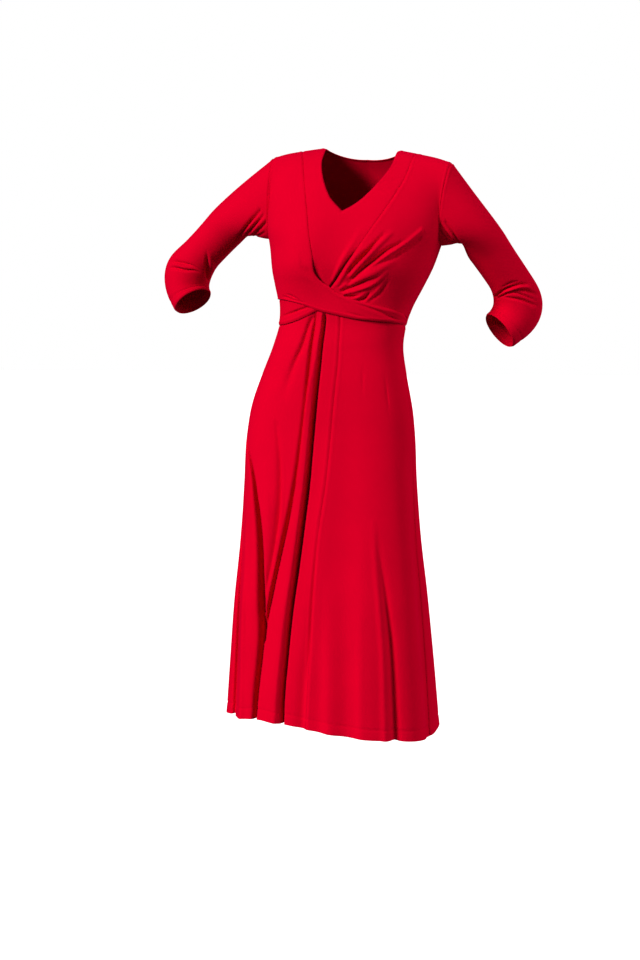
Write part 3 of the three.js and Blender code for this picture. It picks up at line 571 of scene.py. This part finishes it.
RIGHT_WRAP = stations(
    (-0.67, 0, -1, 0), (-0.61, -32, -1, -40), (-0.49, -68, -1, -80), (-0.36, -106, -1, -118),
    (-0.27, -143, -1, -154), (-0.225, -175, -1, ARMPIT), (-0.197, -210, -1, -240),
    (-0.184, -242, -1, -300), (-0.155, -255, -0.82, -299.4), (-0.113, -264, -0.65, -298),
    (-0.06, -271, -0.48, -300), (-0.01, -279, -0.32, -306), (0.06, -287, -0.15, -317),
    (0.16, -294, 0.04, -325), (0.28, -300, 0.2, -331), (0.41, -306, 0.38, -334.7),
    (0.6, -314, 0.6, -338), (0.82, -324, 0.82, -342), (1, -331, 1, -347))
LEFT_WRAP = stations(
    (0.62, 0, 1, 0), (0.575, -38, 1, -40), (0.49, -78, 1, -80), (0.375, -114, 1, -118),
    (0.27, -148, 1, -154), (0.18, -180, 1, ARMPIT), (0.105, -215, 1, -232), (0.03, -248, 1, -280),
    (-0.03, -270, 1, -330.5), (-0.08, -281, 0.88, -326), (-0.14, -288, 0.6, -321),
    (-0.17, -291, 0.42, -314), (-0.21, -293, 0.24, -306), (-0.27, -296, 0.05, -312),
    (-0.36, -294, -0.13, -316), (-0.46, -292, -0.25, -327), (-0.55, -292, -0.38, -337.6),
    (-0.64, -292, -0.53, -344.5), (-0.75, -293, -0.68, -346.6), (-0.87, -293.5, -0.84, -347.8),
    (-1, -294, -1, -349))


def strip(rows, across, number):
    """Turn and level on a strip, and how wide it is there in millimetres."""
    inner_turn, inner_level, outer_turn, outer_level = (
        along(rows, number, column) for column in STRIP.split())
    turn = mix(inner_turn, outer_turn, across)
    level = np.minimum(mix(inner_level, outer_level, across), -SEAM_GAP / 2)
    wide = np.hypot((outer_turn - inner_turn) * quarter(level), outer_level - inner_level)
    return turn, level, wide


# %% [markdown]
# The gathers of the left wrap run out of the twist like rays, over the chest. Sharp troughs and round
# ridges take turns, and each dies out on the chest at its own distance. The smooth right wrap has only
# a few creases where the twist pulls at it, along its band and near the right side seam.

# %% Creases of the wraps
LEFT_GATHERS = [
    fold([(0.015, -268), (0.074, -243), (0.127, -220), (0.179, -201)], (3, 4, 5), (3, 6, 2)),
    fold([(0.1, -245), (0.149, -229), (0.202, -212), (0.255, -193), (0.309, -176)], (2.4, 2.8, 3.2),
          (-5, -12, -3), 1.7, -0.2),
    fold([(0.12, -252), (0.184, -233), (0.241, -214), (0.298, -192), (0.355, -174)], (2.5, 3.5, 4),
          (4, 7, 2)),
    fold([(0.109, -264), (0.176, -248), (0.249, -232), (0.313, -217), (0.37, -201),
          (0.449, -186)], (3.2, 4.2, 3.8, 2.5), (-5, -13, -12, -2), 1.7, -0.2),
    fold([(0.045, -275), (0.13, -258), (0.221, -240), (0.317, -222), (0.403, -204), (0.475, -188),
          (0.531, -176), (0.593, -165)], (2.2, 2.4, 3, 3.5), (2, 4, 5, 3)),
    fold([(0.282, -236), (0.387, -218), (0.475, -201), (0.592, -180)], (4, 5, 5), (0, -5, -3)),
    fold([(0.136, -267), (0.23, -253), (0.325, -239), (0.408, -223)], (5, 7, 7), (2, 5, 1)),
    fold([(0.065, -281), (0.14, -273), (0.212, -265), (0.273, -257), (0.327, -252)], (2.2, 2.7, 2.4),
          (-4, -9, -1), 1.7, -0.3),
    fold([(0.085, -285), (0.187, -278), (0.267, -270), (0.34, -258), (0.397, -242)], (2.2, 3, 3),
          (2, 5, 1)),
    fold([(0.098, -290), (0.153, -290), (0.214, -288)], (2.2, 2.3, 2), (-4, -7, -1), 1.7),
    fold([(0.139, -295), (0.224, -289), (0.274, -278)], (2, 2.2, 2), (1, 3, 0)),
    fold([(0.206, -299), (0.265, -295), (0.293, -287), (0.301, -279)], (2.2, 2.4, 2), (-3, -7, -1),
          1.7),
    fold([(0.293, -295), (0.341, -283), (0.377, -269), (0.41, -254)], (2.2, 2.4, 2.4), (1, 3, 0)),
    fold([(0.318, -300), (0.377, -283), (0.415, -265), (0.439, -250)], (3, 3.6, 3), (-1, -3.5, 0), 1.7),
    # The crease in the end of the band that shows below the right wrap
    fold([(-0.2, -308), (-0.231, -310), (-0.351, -318), (-0.456, -324), (-0.611, -331)],
         (2.2, 2.6, 2.6), (-2, -4, -1)),
]
RIGHT_CREASES = [
    fold([(-0.282, -211), (-0.264, -237), (-0.22, -247), (-0.165, -257), (-0.1, -266)], (4, 5, 4),
         (0, -3, -2)),
    fold([(0.1, -293), (0.238, -303), (0.393, -314), (0.589, -329), (0.784, -337)], (2.5, 3, 3),
         (-1, -2.6, -1)),
    fold([(0.12, -318), (0.184, -322), (0.266, -327), (0.388, -331)], (2, 2.5, 2), (0, -1.8, 0)),
    # Small pleats at the lower edge, towards the right side seam
    fold([(-0.55, -291), (-0.434, -296), (-0.349, -301), (-0.263, -305)],
         (2.2, 2.6, 2.4), (0, -4, -3, 0)),
    fold([(-0.49, -286), (-0.393, -293), (-0.316, -300)], (2, 2.4, 2), (0, -3, 0)),
    fold([(-0.5, -290), (-0.41, -295), (-0.33, -301)], (2, 2.2, 2), (0, 2, 0)),
]

# %% The wraps
UNDER_TURN, UNDER_FADE = -0.6, 0.1
UNDER_LEVEL, UNDER_RISE = -302.0, 3.0
UNDER_SINK = 2.0
STATION_LONG = 40.0


def wrap(name, rows, layers, creases, cells):
    """One wrap with its band, as a strip of cloth. The left one's band ends under the right wrap's
    lower edge, so it dips there."""
    last = rows["number"][-1]

    def place(across, down):
        turn, level, wide = strip(rows, across, down * last)
        turn = np.clip(turn, -1, 1)
        inner, outer = across * wide, (1 - across) * wide
        under = 0
        if layers == 1:
            under = smooth((UNDER_TURN - turn) / UNDER_FADE) * smooth((level - UNDER_LEVEL) / UNDER_RISE)
        out = (lift(layers, turn, level) - UNDER_SINK * under
               + trunk_relief(creases, turn, level) * calm(inner, outer) + edge(inner, outer))
        outward = body_normal(turn, level)
        knit = np.stack([across * wide, -down * last * STATION_LONG], -1)
        return body(turn, level) + outward * out[:, None], outward, knit

    return cloth(name, *cells, place)


right_wrap = wrap("right_wrap_cloth", RIGHT_WRAP, 2, RIGHT_CREASES, (360, 84))
left_wrap = wrap("left_wrap_cloth", LEFT_WRAP, 1, LEFT_GATHERS, (400, 104))

# %% [markdown]
# Between the wraps lies a flat inset. It is a strip down one side of the V neck and up the other, and
# its two halves meet in a mitre under the V's point. It runs a little way under the wraps, and beside
# the gathers it sinks into a groove.

# %% The inset
NECK_SHARE = 0.42
NECK_STATIONS = 8
INSET_FOOT = (-0.07, -284)
INSET_UNDER, INSET_SINK = 4.0, 1.6
GROOVE_TOP, GROOVE_FULL, GROOVE_DEEP, GROOVE_WIDE = -195.0, -235.0, 11.0, 11.0
NECK_RIGHT = [(-NECK_SHARE, 0), (-0.375, -20), (-0.345, -40), (-0.315, -60), (-0.265, -80),
              (-0.2, -101), (-0.13, -121), (-0.07, -133), (-0.01, -143)]
NECK_LEFT = [(NECK_SHARE, 0), (0.41, -20), (0.39, -42), (0.355, -64), (0.295, -84),
             (0.225, -102), (0.145, -120), (0.07, -133), (-0.01, -143)]


def inset_half(neck, wrap_rows):
    """The stations of one half of the inset, from the shoulder to the V's point."""
    seams = [(wrap_rows["inner_turn"][k], wrap_rows["inner_level"][k]) for k in range(NECK_STATIONS)]
    return stations(*[(*inner, *outer) for inner, outer in zip(neck, [*seams, INSET_FOOT])])


INSET_RIGHT, INSET_LEFT = inset_half(NECK_RIGHT, RIGHT_WRAP), inset_half(NECK_LEFT, LEFT_WRAP)
INSET_CREASES = [
    # The ridge beside the groove
    fold([(-0.03, -261), (0.02, -234), (0.073, -208), (0.115, -186), (0.148, -171)],
         (3, 5, 6), (2, 5, 1)),
    # Faint creases beside the right wrap and at the left of the neck
    fold([(-0.172, -222), (-0.15, -245), (-0.131, -262)], (3, 3.5, 3), (0, -2, -1)),
    fold([(0.296, -97), (0.377, -93), (0.445, -91)], (3, 3, 3), (0, -1.2, 0)),
    fold([(0.163, -107), (0.241, -101), (0.335, -95)], (3, 3, 3), (0, -1.2, 0)),
    fold([(0.189, -113), (0.28, -110), (0.357, -109)], (3, 3, 3), (0, -1, 0)),
]


def inset_place(across, down):
    halves = []
    for rows, number in ((INSET_RIGHT, down * 2 * NECK_STATIONS),
                         (INSET_LEFT, (1 - down) * 2 * NECK_STATIONS)):
        number = np.clip(number, 0, NECK_STATIONS)
        wide = strip(rows, across, number)[2]
        reach = across * (1 + INSET_UNDER / wide)
        halves.append((*strip(rows, reach, number), reach))
    left_side = down > 0.5
    turn, level, wide, reach = (np.where(left_side, b, a) for a, b in zip(*halves))
    from_neck, to_wrap = reach * wide, (1 - reach) * wide
    groove = GROOVE_DEEP * left_side * smooth((GROOVE_TOP - level) / (GROOVE_TOP - GROOVE_FULL))
    out = (trunk_relief(INSET_CREASES, turn, level) * calm(from_neck) + edge(from_neck)
           - INSET_SINK * smooth(1 - to_wrap / EDGE_WIDTH) - groove * smooth(1 - to_wrap / GROOVE_WIDE))
    outward = body_normal(turn, level)
    return body(turn, level) + outward * out[:, None], outward, on_trunk(turn, level)


inset = cloth("inset_cloth", 300, 30, inset_place)

# %% [markdown]
# The back of the bodice is one piece, scooped a little at the neck. Its points stay a hair on the back's
# own side of the side seams, because the form changes there from back to front.

# %% The back bodice
BACK_NECK_DEPTH = 52.0
SEAM_TURN = 0.0005
WAIST = table(
    "turn level",
    (-1, -349), (-0.6, -346), (-0.37, -337), (-0.23, -324), (-0.13, -316), (-0.04, -321),
    (0.06, -326), (0.2, -331), (0.4, -335), (0.6, -338), (0.82, -342), (1, -347), (2, -340),
    (3, -349))


def waist(turn):
    return along(WAIST, turn, "level")


def back_place(across, down):
    turn = 1 + 2 * across
    part = np.clip(np.abs(2 - turn) / NECK_SHARE, 0, 1)
    top = -SEAM_GAP / 2 - BACK_NECK_DEPTH * np.sqrt(1 - part**2)
    level = mix(top, waist(turn) + SEAM_GAP / 2, down)
    turn = np.clip(turn, 1 + SEAM_TURN, 3 - SEAM_TURN)
    outward = body_normal(turn, level)
    wide = quarter(level)
    out = edge((turn - 1) * wide, (3 - turn) * wide, level - waist(turn), top - level)
    return body(turn, level) + outward * out[:, None], outward, on_trunk(turn, level)


back_bodice = cloth("back_bodice_cloth", 110, 120, back_place)

# %% [markdown]
# The hem and the cuffs are turned up and stitched. Each stitch is a short bar of thread that lies on the
# cloth, and a line of them is laid by the same function that lays the piece's cloth.

# %% Stitches
STITCH_LONG, STITCH_STEP, STITCH_WIDE, STITCH_HIGH = 2.3, 3.2, 0.5, 0.4
LINE_POINTS, LINE_END = 2400, 0.002
BAR_FACES = 6


def stitches(name, place, down):
    """A line of stitches across a piece, at one share of the way down it."""
    across = np.linspace(LINE_END, 1 - LINE_END, LINE_POINTS)
    points, outward, _ = place(across, np.full_like(across, down))
    points = points + outward * (CLOTH / 2)
    run = run_of(points)
    bm = bmesh.new()
    for start in np.arange(STITCH_STEP, run[-1] - STITCH_STEP, STITCH_STEP):
        head, middle, tail = (Vector(on_line(start + STITCH_LONG * share, run, points))
                              for share in (0, 0.5, 1))
        ahead = (tail - head).normalized()
        up = Vector(on_line(start + STITCH_LONG / 2, run, outward)).normalized()
        beside = up.cross(ahead).normalized()
        axes = Matrix((ahead * STITCH_LONG, beside * STITCH_WIDE, up * STITCH_HIGH)).transposed()
        bmesh.ops.create_cube(bm, size=MM, matrix=Matrix.Translation(middle * MM) @ axes.to_4x4())
    mesh = bpy.data.meshes.new(name)
    bm.to_mesh(mesh)
    bm.free()
    print(f"{name}: {len(mesh.polygons) // BAR_FACES} stitches")
    return add(name, mesh)


# %% [markdown]
# The skirt has three panels. The two front ones start under the bands, and the front seam between them
# runs a little to the left of the middle. The right panel is gathered at the twist. Folds of the front
# go straight forwards and back, not out from the form, so that the deep ones stay open to the eye.

# %% The skirt
HEM = table(
    "turn level",
    (-1, -1112), (-0.6, -1102), (-0.3, -1096), (0, -1107), (0.3, -1122), (0.6, -1134), (1, -1145),
    (1.25, -1134), (2, -1124), (3, -1112))
FRONT_SEAM = table(
    "level turn",
    (-1180, -0.01), (-935, 0.01), (-847, 0.02), (-736, 0.05), (-626, 0.1), (-515, 0.125),
    (-414, 0.14), (-310, 0.06))
TUCK, TUCK_SINK, TUCK_START, TUCK_FADE = 8.0, 2.0, 2.0, 3.0
FOLD_START = 14.0
HEM_STITCHES, HEM_DIP, HEM_LINE, HEM_BODY = 20.0, 1.1, 1.8, 0.5
PULL_START, PULL_END = 0.55, 0.95
TO_FRONT = np.array([0.0, -1.0, 0.0])
CROWDING, HEM_CROWDING = 0.32, 1.3
LEVEL_PASSES = 3


def hem(turn):
    return along(HEM, turn, "level")


def front_seam(level):
    return along(FRONT_SEAM, level, "turn")


def side_seam(turn):
    """A seam that keeps to one turn at every level."""
    return lambda level: turn + 0 * level


def panel(name, first, last, cells, crowd=0):
    """A skirt panel between two seams, each given as a function of the level, and its line of stitches.
    The grid's rows crowd towards the hem, and with crowd its columns towards the last seam."""

    def place(across, down):
        across = across + crowd * across * (1 - across)
        down = 1 - (1 - down) ** HEM_CROWDING
        level = mix(waist(0), hem(0), down)
        for _ in range(LEVEL_PASSES):
            turn = mix(first(level), last(level), across)
            top = waist(turn) + TUCK
            level = mix(top, hem(turn), down)
        sides = [(turn - first(level)) * quarter(level), (last(level) - turn) * quarter(level)]
        above_hem = level - hem(turn)
        pull = trunk_relief(SKIRT_FOLDS, turn, level) * smooth((waist(turn) - level) / FOLD_START)
        out = (edge(*sides) - TUCK_SINK * smooth((level - waist(turn) + TUCK_START) / TUCK_FADE)
               - HEM_DIP * bell(above_hem - HEM_STITCHES, HEM_LINE)
               + HEM_BODY * smooth(1 - above_hem / HEM_STITCHES))
        outward = body_normal(turn, level)
        frontal = smooth((PULL_END - np.abs(turn)) / (PULL_END - PULL_START))[:, None]
        pulled = unit(mix(outward, TO_FRONT, frontal))
        shift = outward * out[:, None] + pulled * pull[:, None]
        return body(turn, level) + shift, outward, on_trunk(turn, level)

    stitch_down = 1 - (HEM_STITCHES / (waist(0) - hem(0))) ** (1 / HEM_CROWDING)
    line = stitches(name.replace("cloth", "stitches"), place, stitch_down)
    return cloth(name, *cells, place), line


skirt_right, stitches_right = panel(
    "skirt_front_right_cloth", side_seam(-1), front_seam, (192, 240), CROWDING)
skirt_left, stitches_left = panel("skirt_front_left_cloth", front_seam, side_seam(1), (190, 150))
skirt_back, stitches_back = panel(
    "skirt_back_cloth", side_seam(1 + SEAM_TURN), side_seam(3 - SEAM_TURN), (140, 180))

# %% [markdown]
# A set-in sleeve starts with the armhole's shape at its head and turns into a round tube along the arm.
# The tube's middle line is a straight run and a rounded elbow, where the outside is a little fuller. The
# cuff is turned up like the hem.

# %% The sleeves
ELBOW_BEFORE = 95.0
ELBOW_ALONG, ELBOW_SPREAD, ELBOW_OUT = 0.82, 0.11, 15.0
SLEEVE = table("share radius", (0, 56), (0.25, 44), (0.6, 39.5), (0.8, 42), (1, 39.5))
UNDERARM_REACH, HEAD_STRETCH, HEAD_SHARE = 0.85, 0.8, 0.38
SLEEVE_ROUND, SLEEVE_LONG = 260.0, 340.0
CUFF_STITCHES, CUFF_DIP, HEAD_DIP = 18.0, 0.9, 1.2
LINE_STEPS, AHEAD_STEP = 400, 0.01
STEP_ANGLE, STEP_SHARE = 0.02, 0.004


class Arm:
    """The middle line of a sleeve, with its length and the elbow's hinge line."""

    def __init__(self, side, shoulder, elbow, cuff):
        shoulder, elbow, cuff = (np.array(p, float) for p in (shoulder, elbow, cuff))
        self.side = side
        self.upper = unit(elbow - shoulder)
        bend = elbow - self.upper * ELBOW_BEFORE
        t = np.linspace(0, 1, LINE_STEPS)[:, None]
        curve = (1 - t) ** 2 * bend + 2 * t * (1 - t) * elbow + t**2 * cuff
        line = np.concatenate([mix(shoulder, bend, t)[:-1], curve])
        run = run_of(line)
        self.line, self.share, self.length = line, run / run[-1], run[-1]
        self.hinge = unit(np.cross(self.upper, cuff - elbow))
        self.zero = np.arctan2(self.hinge[2], np.cross(self.hinge, self.upper)[2])

    def at(self, share):
        return on_line(share, self.share, self.line)

    def ahead(self, share):
        after, before = np.minimum(share + AHEAD_STEP, 1), np.maximum(share - AHEAD_STEP, 0)
        return unit(self.at(after) - self.at(before))


def on_sleeve(around, share):
    """A place on a sleeve in millimetres, across and down."""
    return np.stack([around * SLEEVE_ROUND, -share * SLEEVE_LONG], -1)


def sleeve_relief(creases, around, share):
    """How far a sleeve's creases and edges move its cloth out."""
    place = on_sleeve(around, share)
    from_head, to_cuff = -place[:, 1], SLEEVE_LONG + place[:, 1]
    return (relief(creases, place[:, 0], place[:, 1], SLEEVE_ROUND) * calm(from_head, to_cuff)
            + edge(from_head, to_cuff) - HEAD_DIP * bell(from_head, EDGE_WIDTH)
            - CUFF_DIP * bell(to_cuff - CUFF_STITCHES, EDGE_WIDTH))


def sleeve_point(arm, angle, share):
    """A sleeve's point, at an angle round it from the shoulder seam and a share along it."""
    angle = angle % (2 * pi)
    ahead = arm.ahead(share)
    inwards = np.cross(arm.hinge, ahead)
    around = arm.zero + arm.side * angle
    outside = np.maximum(0, -np.cos(around))
    bump = np.exp(-((share - ELBOW_ALONG) / ELBOW_SPREAD) ** 2)
    radius = along(SLEEVE, share, "radius") + ELBOW_OUT * bump * outside**2
    tube = (arm.at(share) + inwards * (radius * np.cos(around))[:, None]
            + arm.hinge * (radius * np.sin(around))[:, None])
    front = angle <= pi
    level = ARMPIT * np.where(front, angle, 2 * pi - angle) / pi
    back_turn = 1 + SEAM_TURN if arm.side > 0 else 3 - SEAM_TURN
    turn = np.where(front, arm.side * (1 - SEAM_TURN), back_turn)
    head = body(turn, level)
    head[:, 0] += arm.side * SEAM_GAP
    under = ((1 - np.cos(angle)) / 2)[:, None]
    leaving = unit(mix(arm.upper, np.array([arm.side, 0.0, 0.0]), under * UNDERARM_REACH))
    head += leaving * (share * arm.length * HEAD_STRETCH)[:, None]
    return mix(head, tube, smooth(share / HEAD_SHARE)[:, None])


def sleeve(name, arm, creases, cells):
    """A sleeve as a tube of cloth, closed under the arm, and its line of stitches."""

    def place(across, down):
        angle = pi + 2 * pi * across

        def at(turned, moved):
            return sleeve_point(arm, angle + turned, np.clip(down + moved, 0, 1))

        around = at(STEP_ANGLE, 0) - at(-STEP_ANGLE, 0)
        ahead = at(0, STEP_SHARE) - at(0, -STEP_SHARE)
        outward = unit(np.cross(around, ahead)) * arm.side
        points = at(0, 0)
        around = (angle / (2 * pi)) % 1
        out = sleeve_relief(creases, around, down)
        knit = np.stack([across * SLEEVE_ROUND, -down * arm.length], -1)
        return points + outward * out[:, None], outward, knit

    line = stitches(name.replace("cloth", "stitches"), place, 1 - CUFF_STITCHES / SLEEVE_LONG)
    return cloth(name, *cells, place, closed=True), line


ARM_RIGHT = Arm(-1, (-212, 14, -89), (-410, 118, -251), (-375, 97, -300))
ARM_LEFT = Arm(1, (183, 12, -109), (300, 160, -312), (249, 121, -357))


def crease(path, width, out, sharp=1.8):
    """A fold on a sleeve, whose path is shares round it and along it."""
    return fold(path, width, out, sharp, laid=on_sleeve)


CREASES_RIGHT = [
    # Pulls from the front of the armhole, with ridges between them
    crease([(0.31, 0.06), (0.361, 0.129), (0.428, 0.204), (0.478, 0.321), (0.474, 0.404), (0.47, 0.46)],
           (2.4, 3, 3.4, 3.4), (-5, -11, -8, -2)),
    crease([(0.336, 0.042), (0.375, 0.092), (0.447, 0.175), (0.53, 0.29)], (2.2, 2.5, 3), (-4, -8, -1)),
    crease([(0.369, 0.021), (0.417, 0.087), (0.492, 0.17)], (2.2, 2.4, 2.6), (-3, -7, -1)),
    crease([(0.428, 0.037), (0.483, 0.117), (0.52, 0.16)], (2, 2.2, 2.4), (-2, -4, -1)),
    crease([(0.345, 0.08), (0.4, 0.15), (0.46, 0.24)], (2.2, 2.5, 3), (2, 5, 2)),
    crease([(0.352, 0.03), (0.397, 0.09), (0.47, 0.175)], (2, 2.2, 2.5), (2, 4, 1)),
    # Creases that cross in the bend of the elbow
    crease([(0.344, 0.504), (0.394, 0.55), (0.458, 0.621), (0.517, 0.717), (0.55, 0.78)], (2, 3.4, 4, 3),
           (0, -7, -12, -3)),
    crease([(0.37, 0.49), (0.43, 0.55), (0.5, 0.62), (0.56, 0.67)], (4, 5, 4), (0, 4, 0)),
    crease([(0.13, 0.785), (0.261, 0.717), (0.35, 0.675), (0.433, 0.675)],
           (2.4, 2.8, 2.4), (0, -6, -4, 0)),
    crease([(0.15, 0.81), (0.192, 0.792), (0.308, 0.746), (0.392, 0.696), (0.45, 0.7)], (2.4, 2.8, 2.4),
           (0, -6, -6, 0)),
    crease([(0.15, 0.79), (0.3, 0.725), (0.4, 0.683)], (2.4, 2.6, 2.4), (0, 3, 0)),
    # Soft ones on the back of the sleeve
    crease([(0.62, 0.6), (0.7, 0.68), (0.8, 0.72)], (4, 5, 5), (0, -4, 0)),
    crease([(0.6, 0.66), (0.7, 0.74), (0.78, 0.8)], (4, 4, 5), (0, -3, 0)),
    crease([(0.66, 0.05), (0.6, 0.14), (0.54, 0.26)], (4, 5, 6), (-1, -4, 0)),
]
CREASES_LEFT = [
    # Pulls from the front of the armhole, with a ridge between them
    crease([(0.335, 0.0), (0.375, 0.046), (0.442, 0.1), (0.52, 0.22), (0.55, 0.33)], (2.2, 2.8, 3.2, 3),
           (-5, -10, -8, -1)),
    crease([(0.36, 0.0), (0.411, 0.046), (0.478, 0.096), (0.51, 0.15)], (2.2, 2.3, 2.4), (-4, -7, -1)),
    crease([(0.335, 0.05), (0.389, 0.1), (0.475, 0.163), (0.545, 0.29)], (2.3, 2.6, 3), (-3, -8, -1)),
    crease([(0.352, 0.03), (0.4, 0.085), (0.465, 0.135), (0.54, 0.27)], (2.2, 2.4, 2.8), (2, 5, 1)),
    # Creases that cross in the bend of the elbow
    crease([(0.581, 0.704), (0.436, 0.633), (0.333, 0.633), (0.225, 0.675)], (2.6, 3.2, 2.6),
           (-3, -11, -8, -1)),
    crease([(0.525, 0.7), (0.406, 0.662), (0.311, 0.679), (0.181, 0.746), (0.1, 0.76)], (2.4, 2.8, 2.8),
           (-4, -8, -6, 0)),
    crease([(0.447, 0.604), (0.356, 0.6), (0.278, 0.629)], (2.6, 2.8, 2.6), (0, -5, 0)),
    crease([(0.442, 0.692), (0.347, 0.733), (0.256, 0.779), (0.156, 0.804)],
           (2.6, 3, 2.6), (-2, -7, -5, 0)),
    crease([(0.4, 0.67), (0.356, 0.679), (0.267, 0.742), (0.167, 0.787)],
           (2.2, 2.4, 2.2), (0, -5, -3, 0)),
    crease([(0.5, 0.67), (0.42, 0.646), (0.32, 0.655), (0.22, 0.7)], (2.2, 2.5, 2.4), (1, 4, 2)),
    # Soft ones on the back of the sleeve
    crease([(0.62, 0.58), (0.7, 0.66), (0.8, 0.7)], (4, 5, 5), (0, -4, 0)),
    crease([(0.62, 0.66), (0.7, 0.72), (0.78, 0.79)], (4, 4, 5), (0, -3, 0)),
    crease([(0.66, 0.04), (0.6, 0.12), (0.54, 0.22)], (4, 5, 6), (-1, -4, 0)),
]
sleeve_right, cuff_right = sleeve("sleeve_right_cloth", ARM_RIGHT, CREASES_RIGHT, (170, 124))
sleeve_left, cuff_left = sleeve("sleeve_left_cloth", ARM_LEFT, CREASES_LEFT, (170, 124))

# %% [markdown]
# Jersey is a fine knit with a soft shine. Its colour is a deep red that turns brighter where the light
# grazes it. Very faint lines about three and a half millimetres apart stand for its wales, which are too
# fine to be seen from here, and a faint cloudiness keeps the cloth from looking like paint.

# %% Jersey
JERSEY_RED = (0.66, 0.0, 0.034, 1)
CLOUDS_PER_METRE, CLOUD_DEPTH = 14, 0.05
KNIT_SCALE, KNIT_HEIGHT = 90, 0.2

jersey = bpy.data.materials.new("jersey")
jersey.use_nodes = True
nodes, links = jersey.node_tree.nodes, jersey.node_tree.links
shader = nodes["Principled BSDF"]
dial(shader, {
    "Base Color": JERSEY_RED, "Roughness": 0.5, "Specular IOR Level": 0.0,
    "Sheen Weight": 0.12, "Sheen Roughness": 0.4, "Sheen Tint": (1.0, 0.0, 0.35, 1)})

cloud_place = nodes.new("ShaderNodeTexCoord")
clouds = nodes.new("ShaderNodeTexNoise")
tint = nodes.new("ShaderNodeMapRange")
dye = nodes.new("ShaderNodeVectorMath")
dye.operation = "SCALE"
dial(clouds, {"Scale": CLOUDS_PER_METRE, "Detail": 3.0})
dial(tint, {"To Min": 1 - CLOUD_DEPTH, "To Max": 1 + CLOUD_DEPTH})
dial(dye, {"Vector": JERSEY_RED[:3]})
links.new(cloud_place.outputs["Object"], clouds.inputs["Vector"])
links.new(clouds.outputs["Fac"], tint.inputs["Value"])
links.new(tint.outputs["Result"], dye.inputs["Scale"])
links.new(dye.outputs["Vector"], shader.inputs["Base Color"])

knit_map = nodes.new("ShaderNodeUVMap")
knit_map.uv_map = "knit"
wales = nodes.new("ShaderNodeTexWave")
wales.bands_direction = "X"
bump = nodes.new("ShaderNodeBump")
dial(wales, {"Scale": KNIT_SCALE, "Distortion": 1.2})
dial(bump, {"Strength": 0.12, "Distance": KNIT_HEIGHT * MM})
links.new(knit_map.outputs["UV"], wales.inputs["Vector"])
links.new(wales.outputs["Color"], bump.inputs["Height"])
links.new(bump.outputs["Normal"], shader.inputs["Normal"])
print("Material:", jersey.name)

# %% Join the pieces to the frame
PIECES = [
    (inset, "front_inset", (0.30, 0.29), 0.031, "draped", []),
    (right_wrap, "front_right_wrap", (0.20, 0.56), 0.051, "draped", []),
    (left_wrap, "front_left_wrap", (0.21, 0.60), 0.062, "gathered", []),
    (back_bodice, "back_bodice", (0.45, 0.36), 0.136, "draped", []),
    (sleeve_right, "sleeve_right", (0.36, 0.36), 0.099, "draped", [cuff_right]),
    (sleeve_left, "sleeve_left", (0.36, 0.36), 0.095, "draped", [cuff_left]),
    (skirt_right, "skirt_front_right", (0.44, 0.80), 0.276, "gathered", [stitches_right]),
    (skirt_left, "skirt_front_left", (0.31, 0.81), 0.193, "draped", [stitches_left]),
    (skirt_back, "skirt_back", (0.64, 0.81), 0.413, "draped", [stitches_back]),
]
for piece, node, flat_size, flat_area, held, sewing in PIECES:
    piece.data.materials.append(jersey)
    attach(piece, "root")
    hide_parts(node)
    for line in sewing:
        line.data.materials.append(jersey)
        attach(line, "root")
